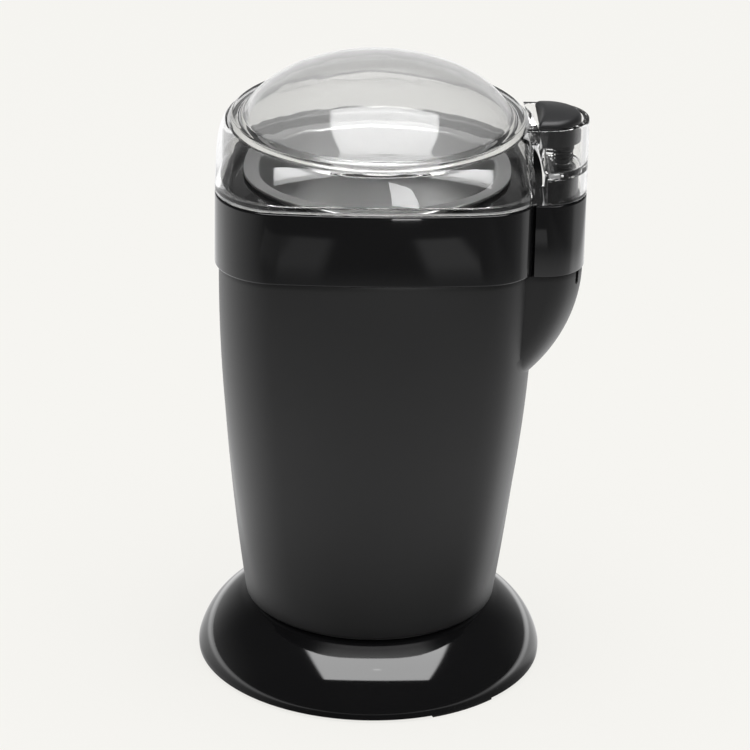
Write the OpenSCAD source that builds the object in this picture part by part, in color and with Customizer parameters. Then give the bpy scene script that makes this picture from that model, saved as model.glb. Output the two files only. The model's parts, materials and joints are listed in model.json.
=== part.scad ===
// Electric spice grinder: a blade grinder with a flared foot, a tapering body, a gloss collar and a clear
// lid. The lid carries a start button in a side tab; the button reaches down into the collar and closes the
// motor's switch. Millimetres, +Z up, origin at the centre of the foot on the worktop, front towards -Y.

/* [Foot] */
// Radius of the foot at its rim
base_r = 55.2; // [54:0.1:60]
// Height of the foot above its pads
base_h = 18.4; // [17:0.1:22]
// Height of the plain band round the foot's rim
rim_h = 1.8; // [1.2:0.1:3]
// Radius of the arc from the rim up to the neck
base_arc_r = 24; // [22:0.5:60]
// Wall of the foot
base_wall = 2.4; // [1.8:0.1:3.2]
// Height of the rubber pads below the rim
pad_h = 0.8; // [0.5:0.1:2]
// Width of the rubber pads
pad_w = 5; // [3:0.5:6]
// Angle that one pad covers
pad_angle = 24; // [15:1:40]
// Bearing of the first pad, from +X
pad_start = -57; // [-80:1:-30]
// Shadow gap between the foot and the body
neck_gap = 2; // [1:0.1:3]
// Width of the cord's way out through the rim
notch_w = 10; // [8:0.5:12]

/* [Cord store] */
// Radius of the hub that the cord winds round
spool_r = 22; // [20:0.5:26]
// Radius of the hub's lower flange
spool_flange_r = 33; // [30:0.5:38]
// Wall of the hub
spool_wall = 2.4; // [1.8:0.1:3]
// Radius of the bore in the cord's grommet
gland_r = 3; // [2.5:0.1:3.1]
// Wall of the grommet
gland_wall = 1.2; // [0.8:0.1:1.3]

/* [Body] */
// Radius of the body at the neck
neck_r = 39.9; // [39:0.1:43]
// Room between the bowl's steel and the outside of the body's sides, at its top
side_room = 11.4; // [11:0.1:13]
// How much less deep the flat front is than the body's round back
front_step = 2.9; // [1.6:0.1:3.8]
// Radius of the body's front corners
corner_r = 18.6; // [16:0.1:22]
// Radius of the front face's gentle crown
crown_r = 335; // [250:5:600]
// Height of the body from the neck to the collar
body_h = 124; // [122:1:130]
// Wall of the body
body_wall = 2.4; // [1.8:0.1:3]
// Height of the fin under the pod
fin_h = 35; // [25:1:45]

/* [Collar] */
// Height of the gloss collar
collar_h = 23.2; // [22:0.1:26]
// How far the collar stands out from the body
overhang = 1.3; // [0.8:0.1:2]
// Wall of the collar
collar_wall = 3; // [2.4:0.1:3.4]
// Depth of the deck below the collar's edge
deck_drop = 2.8; // [2.4:0.1:3.6]
// Thickness of the deck
deck_t = 2.6; // [2:0.1:3.2]
// Radius of the screw posts under the deck
post_r = 2.9; // [2.6:0.1:3.1]

/* [Pod] */
// Distance of the pod's round end outside the body's half width
pod_reach = 1.8; // [1.2:0.1:3]
// Distance of the pod's middle behind the body's flat front
pod_back = 21.4; // [20:0.1:24]
// Radius of the pod's round end
pod_r = 13; // [12:0.1:14]
// Height of the switch boss above the pod
boss_h = 8; // [7:0.1:9]
// Radius of the well in the switch boss
boss_well_r = 3.9; // [3.6:0.1:4.2]

/* [Lid] */
// Gap between the resting lid and the collar
lid_gap = 0.3; // [0.2:0.05:0.5]
// Height of the lid's side wall
lid_wall_h = 13.4; // [12:0.1:16]
// Wall of the lid
lid_t = 2.2; // [1.8:0.1:2.6]
// How far the lid's side wall draws in to its top, from the body's half width
shoulder_step = 2.1; // [1.7:0.1:2.5]
// How much smaller the ring round the dome is than the side wall's top
ring_step = 1.4; // [0.8:0.1:2.2]
// Height of the ring
ring_h = 2.1; // [1.8:0.1:3]
// Width of the ring round the dome
ring_w = 3.4; // [2.4:0.1:4.4]
// How much wider than the dome the ellipse is that it is cut from
dome_round = 2; // [1.6:0.1:4]
// Height of the dome above the ring
dome_h = 17; // [14:0.1:20]
// Thickness of the lip that drops inside the collar
lip_t = 1.6; // [1.2:0.1:1.9]
// Depth of the lip below the collar's edge
lip_drop = 2.4; // [2:0.1:2.5]
// Height of the button's tab
tab_h = 24.2; // [23:0.1:27]
// Wall of the button's tab
tab_wall = 1.9; // [1.6:0.1:2.2]
// Thickness of the floor under the button
floor_t = 1.6; // [1.2:0.1:2]

/* [Button] */
// Travel of the button
travel = 2.5; // [1.5:0.1:2.8]
// Height that the button stands above its tab
button_proud = 1.9; // [1:0.1:3]
// Height of the button's skirt
button_h = 8.3; // [7:0.1:9]
// Gap between the button and its tab
button_gap = 0.5; // [0.4:0.05:0.8]
// Radius of the hollow in the button's inner side
button_hollow_r = 27; // [20:1:40]
// Radius of the button's stem
stem_r = 2.3; // [2:0.05:2.5]
// Radial clearance of the stem, plunger and shaft in their guides
running_gap = 0.06; // [0.03:0.01:0.09]

/* [Bowl] */
// Radius inside the grinding bowl
bowl_r = 36.5; // [35:0.1:36.8]
// Depth of the grinding bowl
bowl_depth = 42; // [40:0.5:43]
// Thickness of the bowl's steel
bowl_t = 1; // [0.8:0.1:1.1]
// Width of the bowl's flange
flange_w = 4.3; // [3:0.1:4.4]
// Thickness of the gasket under the bowl's flange
gasket_t = 0.8; // [0.5:0.1:1]
// Radius of the bowl's inside corner
bowl_corner_r = 9; // [6:0.5:12]
// Radius of the raised hub in the bowl's floor
hub_r = 8.5; // [8:0.1:11]
// Height of the raised hub
hub_h = 7; // [6:0.1:8]

/* [Blade] */
// Radius that the blade sweeps
blade_r = 31; // [26:0.5:33]
// Width of the blade
blade_w = 9; // [7:0.5:11]
// Thickness of the blade
blade_t = 1.6; // [1.2:0.1:2]
// Angle that the blade's tips are bent by
tip_bend = 24; // [0:1:30]
// Radius of the blade's nut
nut_r = 5; // [4.5:0.1:6]

/* [Motor] */
// Radius of the motor's shaft
shaft_r = 3; // [2.5:0.1:3.2]
// Width of the field's laminations
field_w = 52; // [50:0.5:54]
// Depth of the field's laminations
field_d = 44; // [43.5:0.5:46]
// Height of the lamination stack
stack_h = 26; // [20:0.5:28]
// Radius of the armature
armature_r = 15.1; // [14.5:0.1:15.2]
// Air gap between the armature and the field
air_gap = 0.5; // [0.4:0.05:0.8]
// Slots in the armature
armature_slots = 12; // [8:1:14]
// Radius of the commutator
commutator_r = 9.5; // [8.5:0.1:9.8]
// Height of the commutator
commutator_h = 11; // [9:0.5:11]
// Radius of the cooling fan
fan_r = 25; // [20:0.5:27]
// Blades on the cooling fan
fan_blades = 9; // [7:1:11]
// Radius of the four posts that carry the motor
leg_r = 4.2; // [4:0.1:4.4]
// Sideways place of the motor's posts
leg_x = 12; // [11:0.5:13]
// Front and back place of the motor's posts
leg_y = 30; // [29.5:0.1:30.5]

/* [Fasteners] */
// Radius of the long screws
screw_r = 1.5; // [1.2:0.1:1.6]
// Radius of the screws' heads
head_r = 2.9; // [2.6:0.1:3.2]
// Height of the screws' heads
head_h = 1.8; // [1.4:0.1:2]
// Radial clearance of a screw in its hole
screw_gap = 0.1; // [0.05:0.01:0.2]

/* [Hidden] */

$fn = 72;
fine = 180;          // facets of the large rounds
around = 64;         // points round a lofted section
loft_steps = 6;      // sections of the body below the fin
fin_steps = 9;       // sections of the body beside the fin
eps = 0.01;
overlap = 0.4;       // depth to which one moulding's parts run into each other

// Levels, from the worktop up
rim_z = pad_h;
band_z = rim_z + rim_h;
base_top_z = pad_h + base_h;
neck_z = base_top_z + neck_gap;
seam_z = neck_z + body_h;
top_z = seam_z + collar_h;
deck_z = top_z - deck_drop;
pod_top_z = top_z;
boss_z = pod_top_z + boss_h;
lid_z = top_z + lid_gap;
shoulder_z = lid_z + lid_wall_h;
ring_z = shoulder_z + ring_h;
tab_z = lid_z + tab_h;
floor_z = boss_z + 0.5;
well_z = floor_z + floor_t;
button_z = tab_z + button_proud;

// Plan of the top: half width, front depth and the place of the front corners' centres
body_half_w = bowl_r + bowl_t + side_room;
body_front = body_half_w - front_step;
pod_x = body_half_w + pod_reach;
pod_y = body_front - pod_back;
collar_half_w = body_half_w + overhang;
collar_front = body_front + overhang;
plan_corner_r = corner_r + overhang;
corner_x = collar_half_w - plan_corner_r;
crown_y = collar_front - crown_r;
corner_y = crown_y + sqrt(pow(crown_r - plan_corner_r, 2) - pow(corner_x, 2));

// Foot
base_top_r = neck_r + 1.1;
spacer_r = neck_r - body_wall;
plate_t = 2.6;
spool_top_z = base_top_z - plate_t;
spool_flange_t = 2;
spool_z = rim_z + 1.8;
spigot_z = spool_top_z - 2.4;
gland_z = (spool_z + spool_flange_t + spigot_z) / 2;
base_screw_ring = 14;
wire_hole_r = 4;
wire_hole_y = 9;
vent_r = 1.8;
vent_ring = 25.8;
gland_lip = 0.45;

// Chassis
flange_t = 2.4;
flange_hole_r = 30;
disc_z = neck_z + flange_t;
disc_t = 3;
disc_r = neck_r - body_wall - 0.5;
boss_r = 3.6;
boss_top_h = 1;
top_plate_t = 3;
bowl_seat_z = deck_z + gasket_t;
bowl_floor_z = bowl_seat_z + bowl_t - bowl_depth;
plate_top_z = bowl_floor_z - bowl_t - 2.5;
plate_z = plate_top_z - top_plate_t;
plate_r = body_half_w - body_wall - 1.4;
plate_front = body_front - body_wall - 1.6;
post_ring = bowl_r + bowl_t + 0.4 + 2 + post_r - 0.6;
post_angles = [90, 207, 333];

// Motor, from the lower bracket up
fan_z = disc_z + disc_t + 2.5;
fan_h = 7;
low_z = fan_z + fan_h + 2.5;
bracket_t = 2;
commutator_z = low_z + bracket_t + 5;
stack_z = commutator_z + commutator_h + 8;
stack_top_z = stack_z + stack_h;
up_z = stack_top_z + 9;
pillar_r = 3.4;
pillar_x = field_w / 2 - 5.5;
pillar_y = field_d / 2 - 5.5;
bearing_r = 6.5;
bearing_h = 7;
field_bore_r = armature_r + air_gap;
coil_in_r = field_bore_r + 1.6;
coil_out_r = coil_in_r + 3.6;
coil_half = 58;
slot_half = 6.5;
grommet_in_r = leg_r - 1.1;
grommet_out_r = leg_r + 1;
grommet_flange_r = leg_r + 2.6;
grommet_flange_t = 1.5;
brush_z = commutator_z + commutator_h / 2;
brush_w = 5;
brush_h = 6;
brush_len = 10;
holder_wall = 1.6;
holder_len = 15;
shaft_end_z = fan_z - 1;
motor_nut_t = 2.2;
post_screw_in = 12;
leg_screw_in = 10;

// Lid
shoulder_r = body_half_w - shoulder_step;
ring_r = shoulder_r - ring_step;
dome_r = ring_r - ring_w;
dome_half_w = dome_r + dome_round;
well_lean = 3.5 / (tab_z - well_z);

// Bowl, blade and seal
flange_r = bowl_r + bowl_t + flange_w;
hub_top_z = bowl_floor_z + hub_h;
blade_z = hub_top_z + 3.2;
nut_h = 5;
shaft_top_z = blade_z + blade_t + nut_h - 1.5;

// Switch
boss_x = collar_half_w + 0.7;
boss_inset = tab_wall + 0.8;
plunger_x = (boss_x + pod_x + pod_r - boss_inset) / 2;
head_z = boss_z - 1.4;
head_t = 2;
well_floor_z = pod_top_z - 5;
guide_z = well_floor_z - 2.5;
plunger_head_r = boss_well_r - 0.6;
plunger_stem_r = 1.6;
plunger_end_z = guide_z - 2.2;
switch_top_z = plunger_end_z - travel - 0.4;
switch_x = pod_x - 8;
switch_len = 16.6;
switch_w = 6.4;
switch_h = 10.2;
stem_end_z = head_z + 0.3;
stem_step_z = well_z + 4.4;
stem_boss_r = stem_r + 1.2;

// ---------- Plan of the top ----------

// Square front with round corners and a gentle crown, round back; inset shrinks it evenly
module plan(inset = 0) {
    half_w = collar_half_w - inset;
    intersection() {
        circle(r = half_w, $fn = fine);
        translate([-half_w - 1, 0])
            square([2 * half_w + 2, half_w + 1]);
    }
    for (side = [-1, 1])
        translate([side * corner_x, -corner_y])
            circle(r = plan_corner_r - inset, $fn = fine);
    translate([-half_w, -corner_y])
        square([2 * half_w, corner_y]);
    intersection() {
        translate([0, -crown_y])
            circle(r = crown_r - inset, $fn = 8 * fine);
        polygon(crown_wedge());
    }
}

// The wedge from the crown's centre through the two corner centres, in front of the axis
function crown_wedge() =
    let (
        slope = corner_x / (crown_y - corner_y),
        reach = collar_front + corner_r,
        near = slope * crown_y,
        far = slope * (crown_y - reach)
    )
    [[-near, 0], [-far, -reach], [far, -reach], [near, 0]];

// Distance from the axis to the plan's edge along bearing a, counted from the front
function plan_radius(a, half_w, front, round_r) =
    let (
        u = abs(sin(a)),
        v = cos(a),
        cx = half_w - round_r,
        crown_c = front - crown_r,
        cy = crown_c + sqrt(pow(crown_r - round_r, 2) - pow(cx, 2)),
        side = half_w / max(u, 0.001),
        crown = crown_c * v + sqrt(pow(crown_c * v, 2) - pow(crown_c, 2) + pow(crown_r, 2)),
        dot = cx * u + cy * v,
        corner = dot + sqrt(max(dot * dot - cx * cx - cy * cy + round_r * round_r, 0)),
        tangent_x = cx * crown_r / (crown_r - round_r)
    )
    v <= 0 ? half_w
    : side * v <= cy ? side
    : crown * u <= tangent_x ? crown
    : corner;

// Pod outline: a U that runs into the body
module pod_plan(inset = 0, from_x = 40) {
    translate([pod_x, -pod_y])
        circle(r = pod_r - inset, $fn = fine);
    translate([from_x, -pod_y - pod_r + inset])
        square([pod_x - from_x, 2 * (pod_r - inset)]);
}

// In plan, all of the pod that lies to the right of x
module right_of(x) {
    translate([x, -pod_y - 2 * pod_r])
        square([pod_x + 2 * pod_r - x, 4 * pod_r]);
}

// A side view stretched across the pod
module across_pod() {
    translate([0, 2 * pod_r - pod_y, 0])
        rotate([90, 0, 0])
            linear_extrude(4 * pod_r)
                children();
}

// A ring of fixed section
module ring(outer, inner, height) {
    difference() {
        cylinder(r = outer, h = height);
        translate([0, 0, -1])
            cylinder(r = inner, h = height + 2);
    }
}

// Copies at the four motor posts
module at_legs() {
    for (x = [-leg_x, leg_x], y = [-leg_y, leg_y])
        translate([x, y, 0])
            children();
}

// Copies on the posts of the collar
module at_posts() {
    for (a = post_angles)
        translate([post_ring * cos(a), post_ring * sin(a), 0])
            children();
}

// Copies on the foot's screws
module at_base_screws() {
    for (a = [30, 150, 270])
        translate([base_screw_ring * cos(a), base_screw_ring * sin(a), 0])
            children();
}

// Screw with its head below z = 0 and its shank upwards
module screw_up(length) {
    translate([0, 0, -head_h])
        cylinder(r = head_r, h = head_h);
    cylinder(r = screw_r, h = length);
}

// Coil spring along Z as a swept tube, its ends flat rings of the same wire
module coil_spring(radius, wire, height, turns) {
    sides = 6;
    steps = 12;
    count = turns * steps;
    rise = height - 2 * wire;
    ring_at = function (i) let (a = 360 * i / steps, z = wire + rise * i / count)
        [for (k = [0 : sides - 1]) let (b = 360 * k / sides, r = radius + wire * cos(b))
            [r * cos(a), r * sin(a), z + wire * sin(b)]];
    points = [for (i = [0 : count]) each ring_at(i)];
    skin = [for (i = [0 : count - 1], k = [0 : sides - 1]) let (n = (k + 1) % sides)
        [i * sides + k, i * sides + n, (i + 1) * sides + n, (i + 1) * sides + k]];
    first = [for (k = [sides - 1 : -1 : 0]) k];
    last = [for (k = [0 : sides - 1]) count * sides + k];
    polyhedron(points, concat([for (f = skin) [f[3], f[2], f[1], f[0]]], [[for (k = [0 : sides - 1]) k]],
        [[for (k = [sides - 1 : -1 : 0]) count * sides + k]]), convexity = 10);
}

// Closed skin through rings of equal length, from the outer bottom up, over the top and down the inside
module skin_rings(rings) {
    n = len(rings[0]);
    m = len(rings);
    faces = [for (i = [0 : m - 1], k = [0 : n - 1])
        let (j = (i + 1) % m, l = (k + 1) % n)
            each [[i * n + k, j * n + k, j * n + l], [i * n + k, j * n + l, i * n + l]]];
    polyhedron([for (r = rings) each r], faces, convexity = 10);
}

// ---------- Foot ----------

// Outer line of the foot from its rim to its top edge, moved inwards by inset
function base_arc(inset) =
    let (
        dx = base_top_r - base_r,
        dz = base_top_z - band_z,
        chord = sqrt(dx * dx + dz * dz),
        sag = sqrt(base_arc_r * base_arc_r - chord * chord / 4),
        cx = (base_top_r + base_r) / 2 - dz / chord * sag,
        cz = (base_top_z + band_z) / 2 + dx / chord * sag,
        a0 = atan2(band_z - cz, base_r - cx),
        a1 = atan2(base_top_z - cz, base_top_r - cx)
    )
    [for (i = [0 : 10]) let (a = a0 + (a1 - a0) * i / 10)
        [cx + (base_arc_r - inset) * cos(a), cz + (base_arc_r - inset) * sin(a)]];

module base_shell() {
    inner = [for (p = base_arc(base_wall)) if (p[1] < spool_top_z - 1) p];
    color([0.07, 0.07, 0.075])
    difference() {
        union() {
            rotate_extrude($fn = fine)
                polygon(concat(
                    [[0, spool_top_z], [0, base_top_z + neck_gap], [spacer_r, base_top_z + neck_gap],
                     [spacer_r, base_top_z]],
                    [for (i = [10 : -1 : 0]) base_arc(0)[i]],
                    [[base_r, rim_z], [base_r - base_wall, rim_z]],
                    inner,
                    [[inner[len(inner) - 1][0] - 1, spool_top_z]]));
            translate([0, 0, base_top_z])
                cylinder(r = flange_hole_r - 0.3, h = neck_gap + flange_t);
            translate([0, 0, spigot_z])
                cylinder(r = spool_r - spool_wall - 0.05, h = spool_top_z - spigot_z + overlap);
        }
        at_base_screws()
            translate([0, 0, spigot_z - 1])
                cylinder(r = screw_r + screw_gap, h = 30);
        wire_and_vents(spigot_z - 1, 30);
        translate([-notch_w / 2, base_r - 12, rim_z - 1])
            cube([notch_w, 20, gland_z - rim_z + 1]);
        translate([0, base_r + 8, gland_z])
            rotate([90, 0, 0])
                cylinder(r = notch_w / 2, h = 20);
    }
}

// The wire's hole and the ring of vents, through the foot's plate and the chassis above it
module wire_and_vents(z, height) {
    translate([0, wire_hole_y, z])
        cylinder(r = wire_hole_r, h = height);
    for (a = [15 : 30 : 345])
        translate([vent_ring * cos(a), vent_ring * sin(a), z])
            cylinder(r = vent_r, h = height, $fn = 24);
}

module foot_pads() {
    color([0.12, 0.12, 0.12])
    for (k = [0 : 2])
        rotate([0, 0, pad_start + 120 * k - pad_angle / 2])
            rotate_extrude(angle = pad_angle, $fn = fine)
                translate([base_r - pad_w, 0])
                    polygon([[0, 0], [pad_w - 0.6, 0], [pad_w - 0.6, pad_h], [pad_w - base_wall - 0.3, pad_h],
                             [pad_w - base_wall - 0.3, pad_h + 2], [0, pad_h + 2]]);
}

// The hub is pressed onto a spigot of the foot's plate
module cord_spool() {
    color([0.1, 0.1, 0.11])
    difference() {
        translate([0, 0, spool_z + spool_flange_t])
            ring(spool_r, spool_r - spool_wall, spool_top_z - spool_z - spool_flange_t);
        translate([0, 0, gland_z])
            rotate([-90, 0, 0])
                cylinder(r = gland_r + gland_wall, h = spool_r + 5);
    }
}

// Flat ring welded to the hub's lower end, which keeps the turns of cord in
module spool_flange() {
    color([0.1, 0.1, 0.11])
    translate([0, 0, spool_z])
        ring(spool_flange_r, spool_r - spool_wall, spool_flange_t);
}

// Rubber grommet through the hub's wall, with a lip on each side
module cord_gland() {
    lip_len = 1;
    inner_y = spool_r - spool_wall - 0.7 - lip_len;
    outer_y = spool_r + 0.05;
    color([0.15, 0.15, 0.15])
    translate([0, 0, gland_z])
        rotate([-90, 0, 0])
            difference() {
                union() {
                    translate([0, 0, inner_y])
                        cylinder(r = gland_r + gland_wall - 0.05, h = outer_y + lip_len - inner_y);
                    for (y = [inner_y, outer_y])
                        translate([0, 0, y])
                            cylinder(r = gland_r + gland_wall + gland_lip, h = lip_len);
                }
                translate([0, 0, inner_y - 1])
                    cylinder(r = gland_r, h = spool_r);
            }
}

module base_screws() {
    color("silver")
    at_base_screws()
        translate([0, 0, spigot_z])
            screw_up(disc_z + disc_t + boss_top_h - 0.3 - spigot_z);
}

// ---------- Body ----------

// Share of the square top section at height z: 0 at the neck, 1 at the collar
function squareness(z) = let (t = (seam_z - z) / body_h) 1 - t * t;

// Distance from the axis to the body's skin at height z, along bearing a from the front
function body_radius(a, z, inset) =
    let (s = squareness(z))
    (1 - s) * neck_r + s * plan_radius(a, body_half_w, body_front, corner_r) - inset;

// How far the fin reaches at height z: an arc that starts upright under the pod
fin_r = pod_r - overhang * 0.4;
tip_a = atan2(body_half_w, pod_y);
tip_x = body_radius(tip_a, seam_z - fin_h, 0) * sin(tip_a);
function fin_reach(z) =
    let (run = pod_x + fin_r - tip_x, curve = (fin_h * fin_h + run * run) / (2 * run), drop = seam_z - z)
    drop >= fin_h ? 0 : pod_x + fin_r - curve + sqrt(curve * curve - drop * drop);

// Far side of the fin's outline along bearing a, for a round end of radius r about cx; 0 where it is missed
function fin_radius(a, cx, r) =
    let (
        y_end = -cx * cos(a) / sin(a),
        dot = cx * sin(a) + pod_y * cos(a),
        root = dot * dot - cx * cx - pod_y * pod_y + r * r
    )
    y_end > r - pod_y ? 0
    : y_end < -r - pod_y ? (pod_y + r) / cos(a)
    : root > 0 ? dot + sqrt(root) : 0;

// Bearing at which the fin's outline meets the body's, between a bearing on the fin and one off it
function crease(on, off, z, cx, r, inset, n = 14) =
    let (mid = (on + off) / 2)
    n == 0 ? mid
    : fin_radius(mid, cx, r) > body_radius(mid, z, inset) ? crease(mid, off, z, cx, r, inset, n - 1)
    : crease(on, mid, z, cx, r, inset, n - 1);

// One section of the body: the long way round from the back crease to the front one, then the fin's end
fin_points = 13;
function bearing_point(a, r, z) = [r * sin(a), -r * cos(a), z];
function body_section(z, inset) =
    let (
        r = fin_r - inset,
        cx = fin_reach(z) - fin_r,
        on = atan2(cx + r, pod_y),
        finned = fin_reach(z) > 0 && fin_radius(on, cx, r) > body_radius(on, z, inset),
        spread = 1.5 + 10 * (seam_z - fin_h - z) / body_h,
        first = finned ? crease(on, 20, z, cx, r, inset) : tip_a - spread,
        last = finned ? crease(on, 89, z, cx, r, inset) : tip_a + spread,
        p0 = bearing_point(first, body_radius(first, z, inset), z),
        p1 = bearing_point(last, body_radius(last, z, inset), z),
        e0 = p0[0] < cx ? -90 : atan2(p0[1] + pod_y, p0[0] - cx),
        e1 = p1[0] < cx ? 90 : atan2(p1[1] + pod_y, p1[0] - cx)
    )
    concat(
        [for (i = [0 : around])
            let (a = last + (360 + first - last) * i / around)
                bearing_point(a, body_radius(a, z, inset), z)],
        [for (i = [1 : fin_points])
            let (
                share = i / (fin_points + 1),
                a = e0 + (e1 - e0) * share,
                b = first + (last - first) * share
            )
                finned ? [cx + r * cos(a), -pod_y + r * sin(a), z]
                : bearing_point(b, body_radius(b, z, inset), z)]
    );
function round_section(r, z) =
    [for (p = body_section(neck_z, 0)) let (k = r / norm([p[0], p[1]])) [p[0] * k, p[1] * k, z]];

module lower_housing() {
    fin_z = seam_z - fin_h;
    plain = [for (i = [0 : loft_steps]) neck_z + (fin_z - neck_z) * i / loft_steps];
    finned = [for (i = [1 : fin_steps]) fin_z + fin_h * pow(i / fin_steps, 1.8)];
    inside_fin = [for (i = [fin_steps : -2 : 1]) fin_z + fin_h * pow(i / fin_steps, 1.8)];
    inside = [for (i = [loft_steps - 1 : -2 : 1]) neck_z + (fin_z - neck_z) * i / loft_steps];
    color([0.17, 0.17, 0.175])
    skin_rings(concat(
        [for (z = concat(plain, finned)) body_section(z, 0)],
        [for (z = concat(inside_fin, inside, [disc_z])) body_section(z, body_wall)],
        [round_section(flange_hole_r, disc_z), round_section(flange_hole_r, neck_z)]
    ));
}

// ---------- Collar ----------

// The boss is the pod's round end, cut flat towards the body
module boss_plan() {
    intersection() {
        pod_plan(boss_inset, collar_half_w);
        right_of(boss_x);
    }
}

module upper_collar() {
    under_deck = deck_z - deck_t;
    well_r = bowl_r + bowl_t + 0.4;
    tube_wall = 2;
    color([0.04, 0.04, 0.045])
    difference() {
        union() {
            difference() {
                translate([0, 0, seam_z])
                    linear_extrude(collar_h) {
                        plan();
                        pod_plan();
                    }
                translate([0, 0, deck_z])
                    linear_extrude(deck_drop + 1)
                        plan(collar_wall);
                translate([0, 0, seam_z - 1])
                    linear_extrude(under_deck - seam_z + 1)
                        plan(collar_wall);
                translate([0, 0, seam_z - 1])
                    linear_extrude(under_deck - seam_z + 1)
                        pod_plan(collar_wall, pod_x - 8);
            }
            translate([0, 0, deck_z - 12])
                ring(well_r + tube_wall, well_r, 12);
            translate([0, 0, plate_top_z])
                at_posts()
                    cylinder(r = post_r, h = under_deck - plate_top_z + eps);
            translate([0, 0, pod_top_z - eps])
                linear_extrude(boss_h)
                    boss_plan();
            translate([plunger_x, -pod_y, guide_z])
                cylinder(r = boss_well_r + 1.6, h = pod_top_z - guide_z - 1);
            switch_rib(under_deck + 0.5);
        }
        translate([0, 0, seam_z - 30])
            cylinder(r = well_r, h = 100);
        translate([plunger_x, -pod_y, well_floor_z])
            cylinder(r = boss_well_r, h = 50);
        translate([plunger_x, -pod_y, guide_z - 1])
            cylinder(r = plunger_stem_r + running_gap, h = 50);
        translate([0, 0, plate_top_z - 1])
            at_posts()
                cylinder(r = screw_r + screw_gap / 2, h = post_screw_in + 4);
    }
}

// Pins of the collar that hold the switch, and the switch's holes for them
module at_switch_pins() {
    for (x = [switch_x + 3, switch_x + switch_len - 4])
        translate([x, 0, switch_top_z - switch_h + 2.8])
            rotate([90, 0, 0])
                children();
}

// Moulded plate with two pins that carries the switch, hung from the deck
module switch_rib(top) {
    rib_t = 1.8;
    rib_y = -pod_y + switch_w / 2;
    rib_z = switch_top_z - switch_h;
    translate([switch_x - 0.6, rib_y, rib_z])
        cube([switch_len, rib_t, top - rib_z]);
    translate([0, rib_y + rib_t / 2, 0])
        at_switch_pins()
            cylinder(r = 1.1, h = switch_w - 0.6 + rib_t / 2);
}

module collar_screws() {
    color("silver")
    translate([0, 0, plate_z])
        at_posts()
            screw_up(top_plate_t + post_screw_in);
}

// ---------- Chassis ----------

module chassis_base() {
    color([0.75, 0.75, 0.72])
    difference() {
        union() {
            translate([0, 0, disc_z])
                cylinder(r = disc_r, h = disc_t);
            translate([0, 0, disc_z])
                at_legs()
                    cylinder(r = leg_r, h = up_z - grommet_flange_t - disc_z);
            at_legs()
                cylinder(r = grommet_in_r - running_gap, h = plate_z);
            at_base_screws()
                translate([0, 0, disc_z])
                    cylinder(r = boss_r, h = disc_t + boss_top_h);
        }
        translate([0, 0, -1])
            cylinder(r = disc_r + 1, h = disc_z + 1);
        wire_and_vents(disc_z - 1, disc_t + 4);
        at_base_screws()
            translate([0, 0, disc_z - 1])
                cylinder(r = screw_r + screw_gap / 2, h = disc_t + 4);
        at_legs()
            translate([0, 0, plate_z - leg_screw_in - 2])
                cylinder(r = screw_r + screw_gap / 2, h = leg_screw_in + 3);
    }
}

module chassis_top() {
    color([0.75, 0.75, 0.72])
    difference() {
        union() {
            intersection() {
                translate([0, 0, plate_z])
                    cylinder(r = plate_r, h = top_plate_t, $fn = fine);
                translate([-plate_r - 1, -plate_front, plate_z - 1])
                    cube([2 * plate_r + 2, plate_front + plate_r + 1, top_plate_t + 2]);
            }
            translate([0, 0, up_z + bracket_t + grommet_flange_t])
                at_legs()
                    cylinder(r = leg_r + 1, h = plate_z - up_z - bracket_t - grommet_flange_t + eps);
        }
        translate([0, 0, plate_z - 1])
            cylinder(r = 14, h = top_plate_t + 2);
        at_legs()
            translate([0, 0, up_z])
                cylinder(r = grommet_in_r, h = plate_z - up_z);
        at_legs()
            translate([0, 0, plate_z - 1])
                cylinder(r = screw_r + screw_gap, h = top_plate_t + 2);
        at_posts()
            translate([0, 0, plate_z - 1])
                cylinder(r = screw_r + screw_gap, h = top_plate_t + 2);
    }
}

module chassis_screws() {
    color("silver")
    translate([0, 0, plate_top_z])
        mirror([0, 0, 1])
            at_legs()
                screw_up(top_plate_t + leg_screw_in);
}

// ---------- Motor ----------

module motor_grommets() {
    color([0.2, 0.2, 0.2])
    at_legs()
        difference() {
            union() {
                translate([0, 0, up_z - grommet_flange_t])
                    cylinder(r = grommet_flange_r, h = grommet_flange_t);
                translate([0, 0, up_z])
                    cylinder(r = grommet_out_r, h = bracket_t);
                translate([0, 0, up_z + bracket_t])
                    cylinder(r = grommet_flange_r, h = grommet_flange_t);
            }
            translate([0, 0, up_z - grommet_flange_t - 1])
                cylinder(r = grommet_in_r, h = bracket_t + 2 * grommet_flange_t + 2);
        }
}

// Plan of a motor bracket: the field's outline, with round corners
module field_plan(shrink = 0) {
    round_r = 6;
    w = field_w - 2 * shrink;
    d = field_d - 2 * shrink;
    translate([-w / 2, -d / 2 + round_r])
        square([w, d - 2 * round_r]);
    translate([-w / 2 + round_r, -d / 2])
        square([w - 2 * round_r, d]);
    for (x = [-1, 1], y = [-1, 1])
        translate([x * (w / 2 - round_r), y * (d / 2 - round_r)])
            circle(r = round_r);
}

module at_pillars() {
    for (x = [-pillar_x, pillar_x], y = [-pillar_y, pillar_y])
        translate([x, y, 0])
            children();
}

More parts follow.
